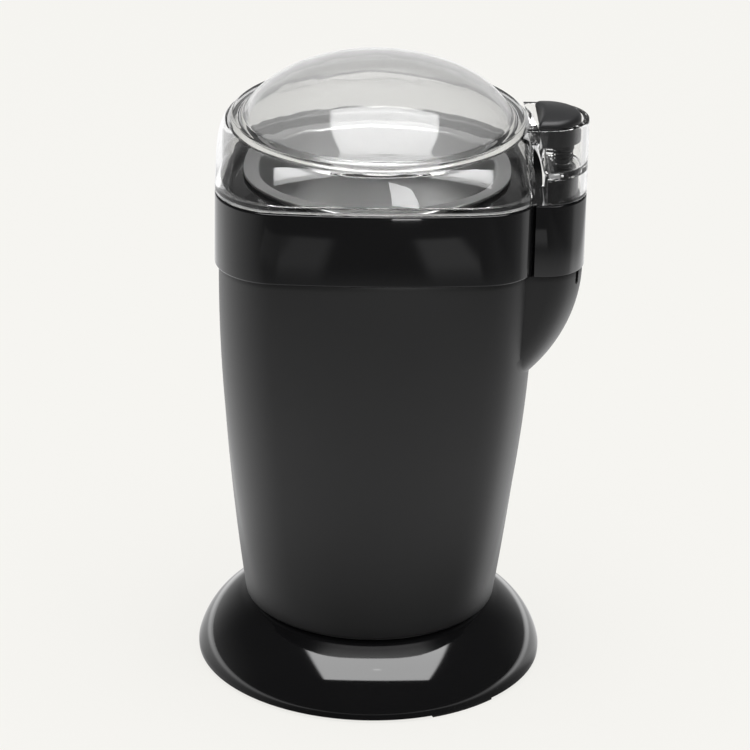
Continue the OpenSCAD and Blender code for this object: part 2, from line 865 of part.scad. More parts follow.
module upper_bracket() {
    color([0.7, 0.7, 0.72])
    difference() {
        union() {
            translate([0, 0, up_z])
                linear_extrude(bracket_t) {
                    field_plan();
                    for (x = [-leg_x, leg_x], y = [-leg_y, leg_y])
                        translate([x, y])
                            circle(r = grommet_flange_r + 0.8);
                    for (x = [-leg_x, leg_x])
                        translate([x - grommet_flange_r, -leg_y])
                            square([2 * grommet_flange_r, 2 * leg_y]);
                }
            translate([0, 0, stack_top_z])
                at_pillars()
                    cylinder(r = pillar_r, h = up_z - stack_top_z + eps);
            translate([0, 0, up_z - 1])
                cylinder(r = bearing_r + 2, h = bearing_h);
        }
        at_legs()
            translate([0, 0, up_z - 1])
                cylinder(r = grommet_out_r + 0.05, h = bracket_t + 2);
        translate([0, 0, up_z - 2])
            cylinder(r = bearing_r + 0.03, h = bearing_h + 4);
        translate([0, 0, stack_top_z - 1])
            at_pillars()
                cylinder(r = screw_r + screw_gap, h = up_z + bracket_t - stack_top_z + 2);
    }
}

module lower_bracket() {
    color([0.7, 0.7, 0.72])
    difference() {
        union() {
            translate([0, 0, low_z])
                linear_extrude(bracket_t)
                    field_plan();
            translate([0, 0, low_z])
                at_pillars()
                    cylinder(r = pillar_r, h = stack_z - low_z);
            translate([0, 0, low_z - 2])
                cylinder(r = bearing_r + 2, h = bearing_h - 1);
        }
        translate([0, 0, low_z - 3])
            cylinder(r = bearing_r + 0.03, h = bearing_h + 4);
        translate([0, 0, low_z - 1])
            at_pillars()
                cylinder(r = screw_r + screw_gap, h = stack_z - low_z + 2);
        for (x = [-1, 1])
            translate([x * 16.5, 0, low_z - 1])
                cylinder(r = 4.5, h = bracket_t + 2);
    }
}

module motor_screws() {
    color("silver")
    translate([0, 0, low_z])
        at_pillars()
            screw_up(up_z + bracket_t + motor_nut_t + 0.6 - low_z);
}

module motor_nuts() {
    color("silver")
    translate([0, 0, up_z + bracket_t])
        at_pillars()
            difference() {
                cylinder(r = screw_r + 1.6, h = motor_nut_t, $fn = 6);
                translate([0, 0, -1])
                    cylinder(r = screw_r + screw_gap / 2, h = motor_nut_t + 2);
            }
}

module upper_bearing() {
    color([0.72, 0.55, 0.3])
    translate([0, 0, up_z - 1])
        ring(bearing_r, shaft_r + running_gap, bearing_h);
}

module lower_bearing() {
    color([0.72, 0.55, 0.3])
    translate([0, 0, low_z - 2])
        ring(bearing_r, shaft_r + running_gap, bearing_h - 1);
}

module field_stack() {
    color([0.55, 0.55, 0.56])
    difference() {
        translate([0, 0, stack_z])
            linear_extrude(stack_h)
                field_plan();
        translate([0, 0, stack_z - 1])
            cylinder(r = field_bore_r, h = stack_h + 2, $fn = fine);
        translate([0, 0, stack_z - 1])
            at_pillars()
                cylinder(r = screw_r + screw_gap, h = stack_h + 2);
        translate([0, 0, stack_z - 1])
            for (a = [coil_half, 180 - coil_half, 180 + coil_half, -coil_half])
                rotate([0, 0, a - slot_half])
                    rotate_extrude(angle = 2 * slot_half)
                        translate([coil_in_r - 0.3, 0])
                            square([coil_out_r - coil_in_r + 0.6, stack_h + 2]);
    }
}

// Each coil is a closed loop: two legs through the stack and an end turn above and below
module field_coils() {
    turn_h = 5;
    color([0.72, 0.4, 0.2])
    for (pole = [0, 180])
        rotate([0, 0, pole]) {
            for (z = [stack_z - turn_h - 0.3, stack_top_z + 0.3])
                translate([0, 0, z])
                    rotate([0, 0, -coil_half - slot_half + 1.5])
                        rotate_extrude(angle = 2 * (coil_half + slot_half - 1.5))
                            translate([coil_in_r, 0])
                                square([coil_out_r - coil_in_r, turn_h]);
            for (a = [-coil_half, coil_half])
                translate([0, 0, stack_z - turn_h / 2])
                    rotate([0, 0, a - slot_half + 2])
                        rotate_extrude(angle = 2 * (slot_half - 2))
                            translate([coil_in_r + 0.2, 0])
                                square([coil_out_r - coil_in_r - 0.4, stack_h + turn_h]);
        }
}

module brush_holders() {
    outer_w = brush_w + 2 * holder_wall;
    color([0.35, 0.2, 0.1])
    for (a = [90, 270])
        rotate([0, 0, a])
            difference() {
                translate([commutator_r + 1, -outer_w / 2, low_z + bracket_t])
                    cube([holder_len, outer_w, brush_z + brush_h / 2 + holder_wall - low_z - bracket_t]);
                translate([commutator_r, -brush_w / 2 - 0.1, brush_z - brush_h / 2 - 0.1])
                    cube([holder_len - 0.5, brush_w + 0.2, brush_h + 0.2]);
            }
}

module carbon_brushes() {
    color([0.15, 0.15, 0.15])
    for (a = [90, 270])
        rotate([0, 0, a])
            difference() {
                translate([commutator_r - 1, -brush_w / 2, brush_z - brush_h / 2])
                    cube([brush_len, brush_w, brush_h]);
                translate([0, 0, brush_z - brush_h])
                    cylinder(r = commutator_r + 0.3, h = 2 * brush_h);
            }
}

module brush_springs() {
    from_x = commutator_r - 1 + brush_len + 0.1;
    to_x = commutator_r + holder_len - 0.6;
    color("silver")
    for (a = [90, 270])
        rotate([0, 0, a])
            translate([from_x, 0, brush_z])
                rotate([0, 90, 0])
                    coil_spring(1.9, 0.3, to_x - from_x, 3);
}

module motor_shaft() {
    color([0.8, 0.8, 0.82])
    translate([0, 0, shaft_end_z])
        cylinder(r = shaft_r, h = shaft_top_z - shaft_end_z);
}

module armature_core() {
    color([0.5, 0.5, 0.52])
    translate([0, 0, stack_z])
        linear_extrude(stack_h)
            difference() {
                circle(r = armature_r, $fn = fine);
                circle(r = shaft_r + 0.02);
                for (k = [0 : armature_slots - 1])
                    rotate([0, 0, 360 * k / armature_slots]) {
                        translate([armature_r - 4.2, 0])
                            circle(r = 1.5, $fn = 24);
                        translate([armature_r - 4.2, -0.6])
                            square([6, 1.2]);
                    }
            }
}

// End turns of the armature's wire, above and below the core
module armature_windings() {
    color([0.75, 0.42, 0.2])
    for (side = [0, 1])
        translate([0, 0, side * (stack_z + stack_top_z)])
            mirror([0, 0, side])
                translate([0, 0, stack_top_z + 0.2])
                    rotate_extrude()
                        polygon([[shaft_r + 0.3, 0], [armature_r - 1.4, 0], [armature_r - 1.4, 3],
                                 [armature_r - 3, 6], [shaft_r + 2.5, 7], [shaft_r + 0.3, 6]]);
}

module commutator() {
    bars = 24;
    color([0.78, 0.45, 0.25])
    difference() {
        translate([0, 0, commutator_z])
            cylinder(r = commutator_r, h = commutator_h);
        translate([0, 0, commutator_z - 1])
            cylinder(r = shaft_r + 0.02, h = commutator_h + 2);
        for (k = [0 : bars - 1])
            rotate([0, 0, 360 * k / bars])
                translate([commutator_r - 0.7, -0.2, commutator_z - 1])
                    cube([2, 0.4, commutator_h + 2]);
    }
}

module cooling_fan() {
    color([0.3, 0.3, 0.32])
    difference() {
        union() {
            translate([0, 0, fan_z])
                cylinder(r = 7, h = fan_h);
            translate([0, 0, fan_z])
                cylinder(r = fan_r, h = 1.4);
            for (k = [0 : fan_blades - 1])
                rotate([0, 0, 360 * k / fan_blades])
                    translate([6, -0.6, fan_z])
                        rotate([0, 0, -12])
                            cube([fan_r - 7.5, 1.2, fan_h]);
        }
        translate([0, 0, fan_z - 1])
            cylinder(r = shaft_r + 0.02, h = fan_h + 2);
    }
}

// ---------- Bowl and blade ----------

// Points of a quarter round about a centre, from angle a0 to a1
function arc(cx, cz, r, a0, a1, n = 8) =
    [for (i = [0 : n]) let (a = a0 + (a1 - a0) * i / n) [cx + r * cos(a), cz + r * sin(a)]];

module grinding_bowl() {
    flange_z = bowl_seat_z + bowl_t;
    lip_r = 1.2;
    seal_r = hub_r - bowl_t - 0.4;
    color([0.75, 0.75, 0.76])
    rotate_extrude($fn = fine)
        polygon(concat(
            [[seal_r, bowl_floor_z - bowl_t]],
            arc(bowl_r - bowl_corner_r, bowl_floor_z + bowl_corner_r, bowl_corner_r + bowl_t, -90, 0),
            [[bowl_r + bowl_t, bowl_seat_z], [flange_r, bowl_seat_z], [flange_r, flange_z]],
            arc(bowl_r + lip_r, flange_z - lip_r, lip_r, 90, 180, 5),
            arc(bowl_r - bowl_corner_r, bowl_floor_z + bowl_corner_r, bowl_corner_r, 0, -90),
            [[hub_r + 2, bowl_floor_z], [hub_r, bowl_floor_z + 2], [hub_r, hub_top_z], [seal_r, hub_top_z]]));
}

module bowl_gasket() {
    color([0.5, 0.5, 0.52])
    translate([0, 0, deck_z])
        ring(flange_r - 0.8, bowl_r + bowl_t + 0.8, gasket_t);
}

module shaft_seal() {
    seal_r = hub_r - bowl_t - 0.45;
    color([0.1, 0.1, 0.1])
    translate([0, 0, bowl_floor_z - bowl_t])
        ring(seal_r, shaft_r + running_gap, hub_top_z - bowl_floor_z + bowl_t);
}

module blade_collar() {
    color([0.2, 0.2, 0.2])
    translate([0, 0, hub_top_z + 0.4])
        ring(hub_r - 1.5, shaft_r + 0.02, blade_z - hub_top_z - 0.4);
}

// Flat blade with two bent tips, one up and one down: its side view cut to its plan
module blade() {
    flat_r = blade_r * 0.6;
    tip_len = blade_r - flat_r;
    run = tip_len * cos(tip_bend);
    rise = tip_len * sin(tip_bend);
    back = blade_t * sin(tip_bend);
    drop = blade_t * cos(tip_bend);
    fold = blade_t * tan(tip_bend / 2);
    half_w = blade_w / 2;
    sweep = 3;
    hub_half = half_w + 1.5;
    color([0.82, 0.82, 0.84])
    difference() {
        intersection() {
            translate([0, hub_half + 1, blade_z])
                rotate([90, 0, 0])
                    linear_extrude(2 * hub_half + 2)
                        polygon([
                            [-flat_r + fold, 0], [flat_r, 0], [flat_r + run, rise],
                            [flat_r + run - back, rise + drop], [flat_r - fold, blade_t],
                            [-flat_r, blade_t], [-flat_r - run, blade_t - rise],
                            [-flat_r - run + back, blade_t - rise - drop]
                        ]);
            translate([0, 0, blade_z - rise - 2 * blade_t])
                linear_extrude(2 * rise + 5 * blade_t) {
                    circle(r = hub_half);
                    polygon([
                        [-flat_r, -half_w], [flat_r, -half_w], [blade_r, sweep - half_w],
                        [blade_r, half_w], [-flat_r, half_w], [-blade_r, half_w - sweep],
                        [-blade_r, -half_w]
                    ]);
                }
        }
        translate([0, 0, blade_z - 2])
            cylinder(r = shaft_r + 0.02, h = 10);
    }
}

// Domed nut that holds the blade down
module blade_nut() {
    color([0.8, 0.8, 0.82])
    translate([0, 0, blade_z + blade_t])
        rotate_extrude()
            difference() {
                union() {
                    square([nut_r, nut_h * 0.5]);
                    intersection() {
                        translate([0, nut_h * 0.5])
                            circle(r = nut_r);
                        square([nut_r, nut_h]);
                    }
                }
                square([shaft_r + 0.02, shaft_top_z - blade_z - blade_t + 0.1]);
            }
}

// ---------- Switch ----------

module micro_switch() {
    color([0.08, 0.08, 0.08])
    difference() {
        translate([switch_x, -pod_y - switch_w / 2, switch_top_z - switch_h])
            cube([switch_len, switch_w, switch_h]);
        translate([0, -pod_y + switch_w, 0])
            at_switch_pins()
                cylinder(r = 1.15, h = 2 * switch_w);
        translate([plunger_x, -pod_y, switch_top_z - 4.5])
            cylinder(r = 1.2 + running_gap, h = 10);
    }
}

module switch_plunger() {
    color([0.85, 0.85, 0.8])
    translate([plunger_x, -pod_y, 0]) {
        translate([0, 0, head_z - head_t])
            cylinder(r = plunger_head_r, h = head_t);
        translate([0, 0, plunger_end_z])
            cylinder(r = plunger_stem_r, h = head_z - head_t - plunger_end_z + eps);
        translate([0, 0, switch_top_z - 1.8])
            cylinder(r = 1.2, h = plunger_end_z - switch_top_z + 1.8 + eps);
    }
}

module plunger_clip() {
    color("silver")
    translate([plunger_x, -pod_y, guide_z - 0.3 - 0.8])
        ring(3.2, plunger_stem_r + 0.02, 0.8);
}

module plunger_spring() {
    color("silver")
    translate([plunger_x, -pod_y, well_floor_z + 0.1])
        coil_spring(plunger_stem_r + 0.9, 0.3, head_z - head_t - well_floor_z - 0.2, 5);
}

// ---------- Lid ----------

// Side wall: the collar's plan at the bottom, a circle at the shoulder, bulging outwards between
function lid_section(t, top_r, inset, z) =
    [for (i = [0 : around - 1])
        let (
            a = 360 * i / around,
            low = plan_radius(a, collar_half_w, collar_front, plan_corner_r) - inset,
            r = top_r + (low - top_r) * sqrt(max(1 - t * t, 0))
        )
        bearing_point(a, r, z)];

module lid_wall() {
    steps = 7;
    skin_rings(concat(
        [for (i = [0 : steps]) let (t = sin(90 * i / steps))
            lid_section(t, shoulder_r, 0, lid_z + t * lid_wall_h)],
        [lid_section(1, shoulder_r - lid_t, 0, shoulder_z)],
        [for (i = [steps : -1 : 0]) let (t = sin(90 * i / steps))
            lid_section(t, shoulder_r - lid_t, lid_t, lid_z + t * (lid_wall_h - lid_t * 0.8))]
    ));
}

// Half profile of the ring and dome
function dome_line(drop) =
    let (
        // the ellipse reaches dome_r at the ring and dome_h above it
        cut = sqrt(1 - pow(dome_r / dome_half_w, 2)),
        high = dome_h / (1 - cut),
        low = high * cut,
        from = asin(low / high)
    )
    [for (i = [0 : 12]) let (a = from + (90 - from) * i / 12)
        [(dome_half_w - drop) * cos(a), ring_z - low + (high - drop) * sin(a)]];

module lid_dome() {
    outer = dome_line(0);
    inner = dome_line(lid_t);
    rotate_extrude($fn = fine)
        polygon(concat(
            [[shoulder_r - 0.4, shoulder_z - overlap], [shoulder_r - 0.1, shoulder_z],
             [shoulder_r - 0.5, shoulder_z + 0.9], [ring_r, ring_z]],
            [for (i = [0 : 12]) [max(outer[i][0], 0), outer[i][1]]],
            [for (i = [12 : -1 : 0]) if (inner[i][1] > shoulder_z) [max(inner[i][0], 0), inner[i][1]]],
            [[dome_r - lid_t + 0.3, shoulder_z - overlap]]));
}

// Slanted inner side of the button's well, from its floor to the top of the tab
function well_side(z) = pod_x + 0.2 - (z - well_z) * well_lean;

module lid_shell() {
    left_x = pod_x - 4.5;
    color([0.9, 0.9, 0.9, 0.35])
    difference() {
        union() {
            lid_wall();
            lid_dome();
            lid_lip();
            intersection() {
                translate([0, 0, lid_z])
                    linear_extrude(tab_h)
                        pod_plan(0, pod_x - 8);
                across_pod()
                    polygon([[left_x, lid_z - 1], [left_x, tab_z - 6], [left_x - 2.2, tab_z],
                             [left_x - 2.2, tab_z + 1], [pod_x + 2 * pod_r, tab_z + 1],
                             [pod_x + 2 * pod_r, lid_z - 1]]);
            }
        }
        translate([0, 0, lid_z - 1])
            linear_extrude(floor_z - lid_z + 1)
                intersection() {
                    pod_plan(tab_wall, collar_half_w);
                    right_of(collar_half_w + 0.3);
                }
        intersection() {
            translate([0, 0, well_z])
                linear_extrude(tab_h)
                    pod_plan(tab_wall, pod_x - 6);
            across_pod()
                polygon([[well_side(well_z), well_z - 1], [well_side(well_z), well_z],
                         [well_side(tab_z + 2), tab_z + 2], [pod_x + 2 * pod_r, tab_z + 2],
                         [pod_x + 2 * pod_r, well_z - 1]]);
        }
        translate([plunger_x, -pod_y, floor_z - 2])
            cylinder(r = stem_r + running_gap, h = 10);
    }
}

// Lip that centres the lid inside the collar, and the flange that joins it to the wall
module lid_lip() {
    inset = collar_wall + 0.3;
    translate([0, 0, top_z - lip_drop])
        linear_extrude(lip_drop + lid_gap + 1.5)
            difference() {
                plan(inset);
                plan(inset + lip_t);
            }
    translate([0, 0, lid_z + 0.1])
        linear_extrude(1.2)
            difference() {
                plan(lid_t / 2);
                plan(inset + lip_t / 2);
            }
}

// ---------- Button ----------

module start_button() {
    cap_inset = tab_wall + button_gap;
    side_gap = button_gap + travel * well_lean;
    under_z = button_z - button_h;
    hollow_x = pod_x - 1.5 - button_hollow_r;
    color([0.2, 0.2, 0.21]) {
        difference() {
            intersection() {
                translate([0, 0, under_z])
                    linear_extrude(button_h)
                        pod_plan(cap_inset, pod_x - 6);
                translate([pod_x, -pod_y, button_z - 60])
                    sphere(r = 60, $fn = fine);
                across_pod()
                    polygon([[well_side(under_z) + side_gap, under_z - 1],
                             [well_side(button_z) + side_gap, button_z + 1],
                             [pod_x + 2 * pod_r, button_z + 1], [pod_x + 2 * pod_r, under_z - 1]]);
            }
            translate([hollow_x, -pod_y, under_z - 1])
                cylinder(r = button_hollow_r, h = button_h + 2, $fn = fine);
            translate([0, 0, under_z - 1])
                linear_extrude(button_h - 1.2)
                    intersection() {
                        pod_plan(cap_inset + 1.4, pod_x - 6);
                        difference() {
                            right_of(pod_x + 1.2);
                            translate([plunger_x, -pod_y])
                                circle(r = stem_boss_r - 0.1);
                        }
                    }
        }
        translate([plunger_x, -pod_y, stem_step_z])
            cylinder(r = stem_boss_r, h = button_z - 1.5 - stem_step_z);
        translate([plunger_x, -pod_y, stem_end_z])
            cylinder(r = stem_r, h = stem_step_z - stem_end_z + eps);
    }
}

module button_clip() {
    color("silver")
    translate([plunger_x, -pod_y, floor_z - 0.2 - 0.7])
        ring(boss_well_r - 0.6, stem_r + 0.02, 0.7);
}

module button_spring() {
    color("silver")
    translate([plunger_x, -pod_y, well_z + 0.1])
        coil_spring(stem_r + 0.7, 0.25, stem_step_z - well_z - 0.2, 3);
}

base_shell();
foot_pads();
cord_spool();
spool_flange();
cord_gland();
base_screws();
lower_housing();
upper_collar();
collar_screws();
chassis_base();
chassis_top();
chassis_screws();
motor_grommets();
upper_bracket();
lower_bracket();
motor_screws();
motor_nuts();
upper_bearing();
lower_bearing();
field_stack();
field_coils();
brush_holders();
carbon_brushes();
brush_springs();
micro_switch();
grinding_bowl();
bowl_gasket();
shaft_seal();
motor_shaft();
armature_core();
armature_windings();
commutator();
cooling_fan();
blade();
blade_collar();
blade_nut();
switch_plunger();
plunger_clip();
plunger_spring();
lid_shell();
start_button();
button_clip();
button_spring();
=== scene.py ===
# %% [markdown]
# # An electric spice grinder
# A blade grinder stands on a flared foot. Its body tapers like a vase, a gloss collar with a side
# pod sits on it, and a clear lid with a dome covers a steel bowl. A button in the lid's tab closes
# the switch. The solids of the CAD model come in metres and in one frame, so each new piece is made
# where its solid is. Sizes below are in millimetres.

# %% Load the frame
import json
import math

import bpy
from mathutils import Matrix, Vector


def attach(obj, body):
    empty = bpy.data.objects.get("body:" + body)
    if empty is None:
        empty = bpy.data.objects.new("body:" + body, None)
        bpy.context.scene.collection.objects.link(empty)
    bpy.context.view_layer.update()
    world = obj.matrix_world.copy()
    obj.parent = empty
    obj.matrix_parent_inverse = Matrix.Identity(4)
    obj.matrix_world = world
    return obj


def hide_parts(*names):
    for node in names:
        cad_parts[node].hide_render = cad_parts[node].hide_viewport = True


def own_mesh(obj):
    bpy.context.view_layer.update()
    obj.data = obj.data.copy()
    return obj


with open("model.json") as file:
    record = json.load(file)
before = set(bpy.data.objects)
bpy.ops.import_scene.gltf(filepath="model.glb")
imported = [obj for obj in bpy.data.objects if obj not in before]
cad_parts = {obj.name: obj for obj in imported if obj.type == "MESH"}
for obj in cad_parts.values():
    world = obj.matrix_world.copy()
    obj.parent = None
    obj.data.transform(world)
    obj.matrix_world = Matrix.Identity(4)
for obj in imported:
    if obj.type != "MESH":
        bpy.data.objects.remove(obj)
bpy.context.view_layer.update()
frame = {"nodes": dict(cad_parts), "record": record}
bpy.ops.object.select_all(action="DESELECT")
MM = 0.001

# %% [markdown]
# ## Levels
# The pieces start and end at a few heights, such as the seam between body and collar. They are
# named once, so that two pieces that meet are made to the same number.

# %% Name the levels
RIM, BAND, FOOT_TOP, NECK = 0.8, 2.6, 19.2, 21.2
SEAM, DECK, TOP, BOSS = 145.2, 165.6, 168.4, 176.4
LID, SHOULDER, RING, APEX = 168.7, 182.1, 184.2, 201.2
FLOOR, WELL, TAB, BUTTON = 176.9, 178.5, 192.9, 194.8
print("the lid is", round(APEX - LID, 1), "mm of", APEX, "mm high")

# %% [markdown]
# ## Two plans
# Seen from above, the grinder has a square front with round corners and a round back. One function
# gives the distance from the axis to that outline along a bearing, counted from the front, and
# body, collar and lid all use it. The other outline is the U of the side pod.

# %% Measure the square-fronted plan
COLLAR = (50.2, 47.3, 19.9)  # half width, depth of the front, corner radius
BODY = (48.9, 46.0, 18.6)
CROWN = 335.0  # the front isn't flat but an arc of this radius


def plan_radius(bearing, plan):
    """Distance from the axis to the plan along a bearing, in degrees from the front."""
    half_w, front, corner = plan
    u, v = abs(math.sin(math.radians(bearing))), math.cos(math.radians(bearing))
    cx, crown_c = half_w - corner, front - CROWN
    cy = crown_c + math.sqrt((CROWN - corner) ** 2 - cx**2)
    if v <= 0:
        return half_w
    if half_w / max(u, 0.001) * v <= cy:
        return half_w / max(u, 0.001)
    crown = crown_c * v + math.sqrt((crown_c * v) ** 2 - crown_c**2 + CROWN**2)
    if crown * u <= cx * CROWN / (CROWN - corner):
        return crown
    dot = cx * u + cy * v
    return dot + math.sqrt(max(dot * dot - cx * cx - cy * cy + corner * corner, 0))


print("front of the collar:", round(plan_radius(0, COLLAR), 2), "side:", plan_radius(90, COLLAR))

# %% Draw sections of the plan, of a circle and of the pod
AROUND, POD_ARC = 216, 40  # steps right round, and round the pod's end
POD_X, POD_Y, POD_R = 50.7, 24.6, 13.0


def at_bearing(bearing, radius, height):
    """The point at a bearing from the front, a distance from the axis and a height."""
    a = math.radians(bearing)
    return (radius * math.sin(a), -radius * math.cos(a), height)


def plan_rings(line):
    """Sections of the collar's plan, from pairs of inset and height."""
    step = 360 / AROUND
    return [[at_bearing(i * step, plan_radius(i * step, COLLAR) - inset, z) for i in range(AROUND)]
            for inset, z in line]


def round_rings(line):
    """Round sections on the same bearings, from pairs of radius and height."""
    return [[at_bearing(360 * i / AROUND, max(r, 0), z) for i in range(AROUND)] for r, z in line]


def polar(radius, degrees, centre=(0, 0)):
    """A point on a circle round a centre, at an angle counted from the right."""
    a = math.radians(degrees)
    return (centre[0] + radius * math.cos(a), centre[1] + radius * math.sin(a))


def pod_ring(inset, left_x, height, side=6):
    """The pod's U: a round end, and a straight back at left_x."""
    r, pod = POD_R - inset, (POD_X, -POD_Y)
    ring = [polar(r, -90 + 180 * i / POD_ARC, pod) + (height,) for i in range(POD_ARC + 1)]
    return ring + [(left_x, -POD_Y + r - 2 * r * i / side, height) for i in range(side + 1)]


print("a section of the pod has", len(pod_ring(0, 47.6, SEAM)), "points")

# %% [markdown]
# ## Finishes
# The real surfaces are moulded plastics, pressed and turned metals, rubber and enamelled wire. Each
# finish is one Principled shader. Fine noise in Object coordinates moves its colour, roughness and
# bump a little, because a perfectly even surface gives a computer picture away.

# %% Make a finish with grain


def new_node(tree, kind, **inputs):
    """A shader node of this kind, with the inputs that are named set to their values."""
    node = tree.nodes.new("ShaderNode" + kind)
    for name, value in inputs.items():
        node.inputs[name.replace("_", " ")].default_value = value
    return node


def finish_of(name, colour, rough, grain=0.0, size=1.0, metal=0.0, specular=0.5, vary=0.06,
              streak=(1, 1, 1)):
    """A Principled finish; grain is the bump's height in mm, size its width, streak its stretch."""
    material = bpy.data.materials.new(name)
    material.use_nodes = True
    tree, link = material.node_tree, material.node_tree.links.new
    shader = tree.nodes["Principled BSDF"]
    shader.inputs["Metallic"].default_value = metal
    shader.inputs["Specular IOR Level"].default_value = specular
    place = new_node(tree, "TexCoord")
    stretch = new_node(tree, "Mapping", Scale=streak)
    link(place.outputs["Object"], stretch.inputs["Vector"])
    noise = new_node(tree, "TexNoise", Scale=1 / (size * MM), Detail=3)
    link(stretch.outputs["Vector"], noise.inputs["Vector"])
    cloud = new_node(tree, "TexNoise", Scale=40, Detail=2)
    link(place.outputs["Object"], cloud.inputs["Vector"])
    ramp = new_node(tree, "ValToRGB")
    for stop, gain in zip(ramp.color_ramp.elements, (1 - vary, 1 + vary)):
        stop.color = [min(c * gain, 1) for c in colour] + [1]
    ramp.color_ramp.elements[0].position = 0.3
    ramp.color_ramp.elements[1].position = 0.7
    link(cloud.outputs["Fac"], ramp.inputs["Fac"])
    link(ramp.outputs["Color"], shader.inputs["Base Color"])
    sheen = new_node(tree, "MapRange", To_Min=rough * 0.88, To_Max=min(rough * 1.12, 1))
    link(noise.outputs["Fac"], sheen.inputs["Value"])
    link(sheen.outputs["Result"], shader.inputs["Roughness"])
    if grain:
        bump = new_node(tree, "Bump", Distance=grain * MM, Strength=1)
        link(noise.outputs["Fac"], bump.inputs["Height"])
        link(bump.outputs["Normal"], shader.inputs["Normal"])
    return material


# %% Mix the finishes of this grinder
FINISH = {name: finish_of(name, *values, **more) for name, values, more in (
    ("gloss_black", ((0.0065, 0.0065, 0.007), 0.06, 0.002, 9), {"specular": 0.6}),
    ("foot_black", ((0.006, 0.006, 0.0065), 0.07, 0.002, 9), {"specular": 0.6}),
    ("matte_black", ((0.0095, 0.0095, 0.01), 0.45, 0.012, 0.35), {"specular": 0.72}),
    ("hub_black", ((0.02, 0.02, 0.021), 0.45, 0.02, 0.6), {}),
    ("rubber_black", ((0.02, 0.02, 0.02), 0.7, 0.03, 0.5), {}),
    ("button_grey", ((0.018, 0.018, 0.019), 0.42, 0.01, 0.4), {"specular": 0.35}),
    ("bowl_steel", ((0.68, 0.68, 0.68), 0.34, 0.0008, 1.6, 1), {"vary": 0.03, "streak": (1, 1, 9)}),
    ("blade_steel", ((0.68, 0.68, 0.69), 0.2, 0.004, 0.8, 1), {"streak": (1, 8, 1)}),
    ("zinc", ((0.56, 0.57, 0.58), 0.34, 0.006, 0.8, 1), {"vary": 0.1}),
    ("iron", ((0.2, 0.2, 0.21), 0.45, 0.05, 1.0, 1), {"streak": (0.02, 0.02, 1.6)}),
    ("copper", ((0.55, 0.22, 0.09), 0.3, 0.08, 0.9, 1), {"streak": (0.1, 0.1, 1.5)}),
    ("bronze", ((0.42, 0.28, 0.12), 0.45, 0.02, 0.4, 1), {}),
    ("white_plastic", ((0.6, 0.59, 0.54), 0.42, 0.01, 0.8), {}),
    ("phenolic", ((0.05, 0.022, 0.01), 0.4, 0.012, 0.6), {"vary": 0.2}),
    ("carbon", ((0.03, 0.03, 0.03), 0.6, 0.02, 0.3), {}),
    ("dark_spring", ((0.02, 0.02, 0.021), 0.5, 0.01, 0.5), {}),
    ("seal", ((0.09, 0.09, 0.09), 0.6, 0.01, 0.5), {}),
)}
print(", ".join(FINISH))

# %% [markdown]
# ## Clear plastic
# The lid is a clear plastic with an index of about 1.5. It hardly tints, and the faint waviness of
# a moulding bends what is seen through it. The dome lets less through and scatters the rest. This
# is a painted veil of light for the overhead softbox's glare on the dome, whose plastic is as clear
# as the rest. Light for other pieces passes straight through, as it nearly does in life.

# %% Make clear plastic


def math_node(tree, how, first, second):
    """One sum of two values, each a socket or a number."""
    node = new_node(tree, "Math")
    node.operation = how
    for value, socket in zip((first, second), node.inputs):
        if isinstance(value, (int, float)):
            socket.default_value = value
        else:
            tree.links.new(value, socket)
    return node.outputs[0]


def mixed(tree, share, first, second):
    """The first shader where share is 0, and the second where it is 1."""
    node = new_node(tree, "MixShader")
    for source, socket in zip((share, first, second), node.inputs):
        tree.links.new(source, socket)
    return node.outputs[0]


def clear_plastic(name, tint, clarity, rough, wavy):
    """Clear plastic whose surface waves by so many mm; what it doesn't let through it scatters."""
    material = bpy.data.materials.new(name)
    material.use_nodes = True
    tree, link = material.node_tree, material.node_tree.links.new
    shader = tree.nodes["Principled BSDF"]
    shader.inputs["Base Color"].default_value = (tint, tint, tint * 0.995, 1)
    shader.inputs["Transmission Weight"].default_value = clarity
    shader.inputs["Roughness"].default_value = rough
    shader.inputs["IOR"].default_value = 1.5
    place = new_node(tree, "TexCoord")
    wave = new_node(tree, "TexNoise", Scale=90, Detail=1)
    bump = new_node(tree, "Bump", Distance=wavy * MM)
    link(place.outputs["Object"], wave.inputs["Vector"])
    link(wave.outputs["Fac"], bump.inputs["Height"])
    link(bump.outputs["Normal"], shader.inputs["Normal"])
    path = new_node(tree, "LightPath").outputs
    lets_pass = math_node(tree, "MAXIMUM", path["Is Shadow Ray"], path["Is Diffuse Ray"])
    passing = new_node(tree, "BsdfTransparent")
    surface = mixed(tree, lets_pass, shader.outputs["BSDF"], passing.outputs["BSDF"])
    link(surface, tree.nodes["Material Output"].inputs["Surface"])
    return material


FINISH["clear"] = clear_plastic("clear", 0.97, 1.0, 0.02, 0.04)
# the dome's plastic lets less through and scatters more: a painted veil of light for the softbox's
# glare
FINISH["dome_painted_veil"] = clear_plastic("dome_painted_veil", 0.88, 0.8, 0.03, 0.1)
print(len(FINISH), "finishes")

# %% [markdown]
# ## Dress the solids that stay
# The motor and the small fasteners are seen only when the grinder is taken apart. They keep their
# CAD shapes and only take a finish, each from the material slot that the record names. The
# button's spring and clip are blackened, so they hardly show through the clear tab.

# %% Give every solid its finish
slot_of = {row["node"]: row["material_slot"] for row in frame["record"]["subparts"]}
for node, solid in frame["nodes"].items():
    blackened = node in ("button_spring", "button_clip")
    solid.data.materials.clear()
    solid.data.materials.append(FINISH["dark_spring" if blackened else slot_of[node]])
print(len(slot_of), "solids dressed")

# %% [markdown]
# ## A line with eased corners
# Mould makers never leave a sharp edge. The outlines below are written as a few corners, some with
# a radius, and this helper turns each such corner into a smooth curve.

# %% Ease the corners of a line
NEAR_HALF = 0.49  # a corner takes up at most this share of each side


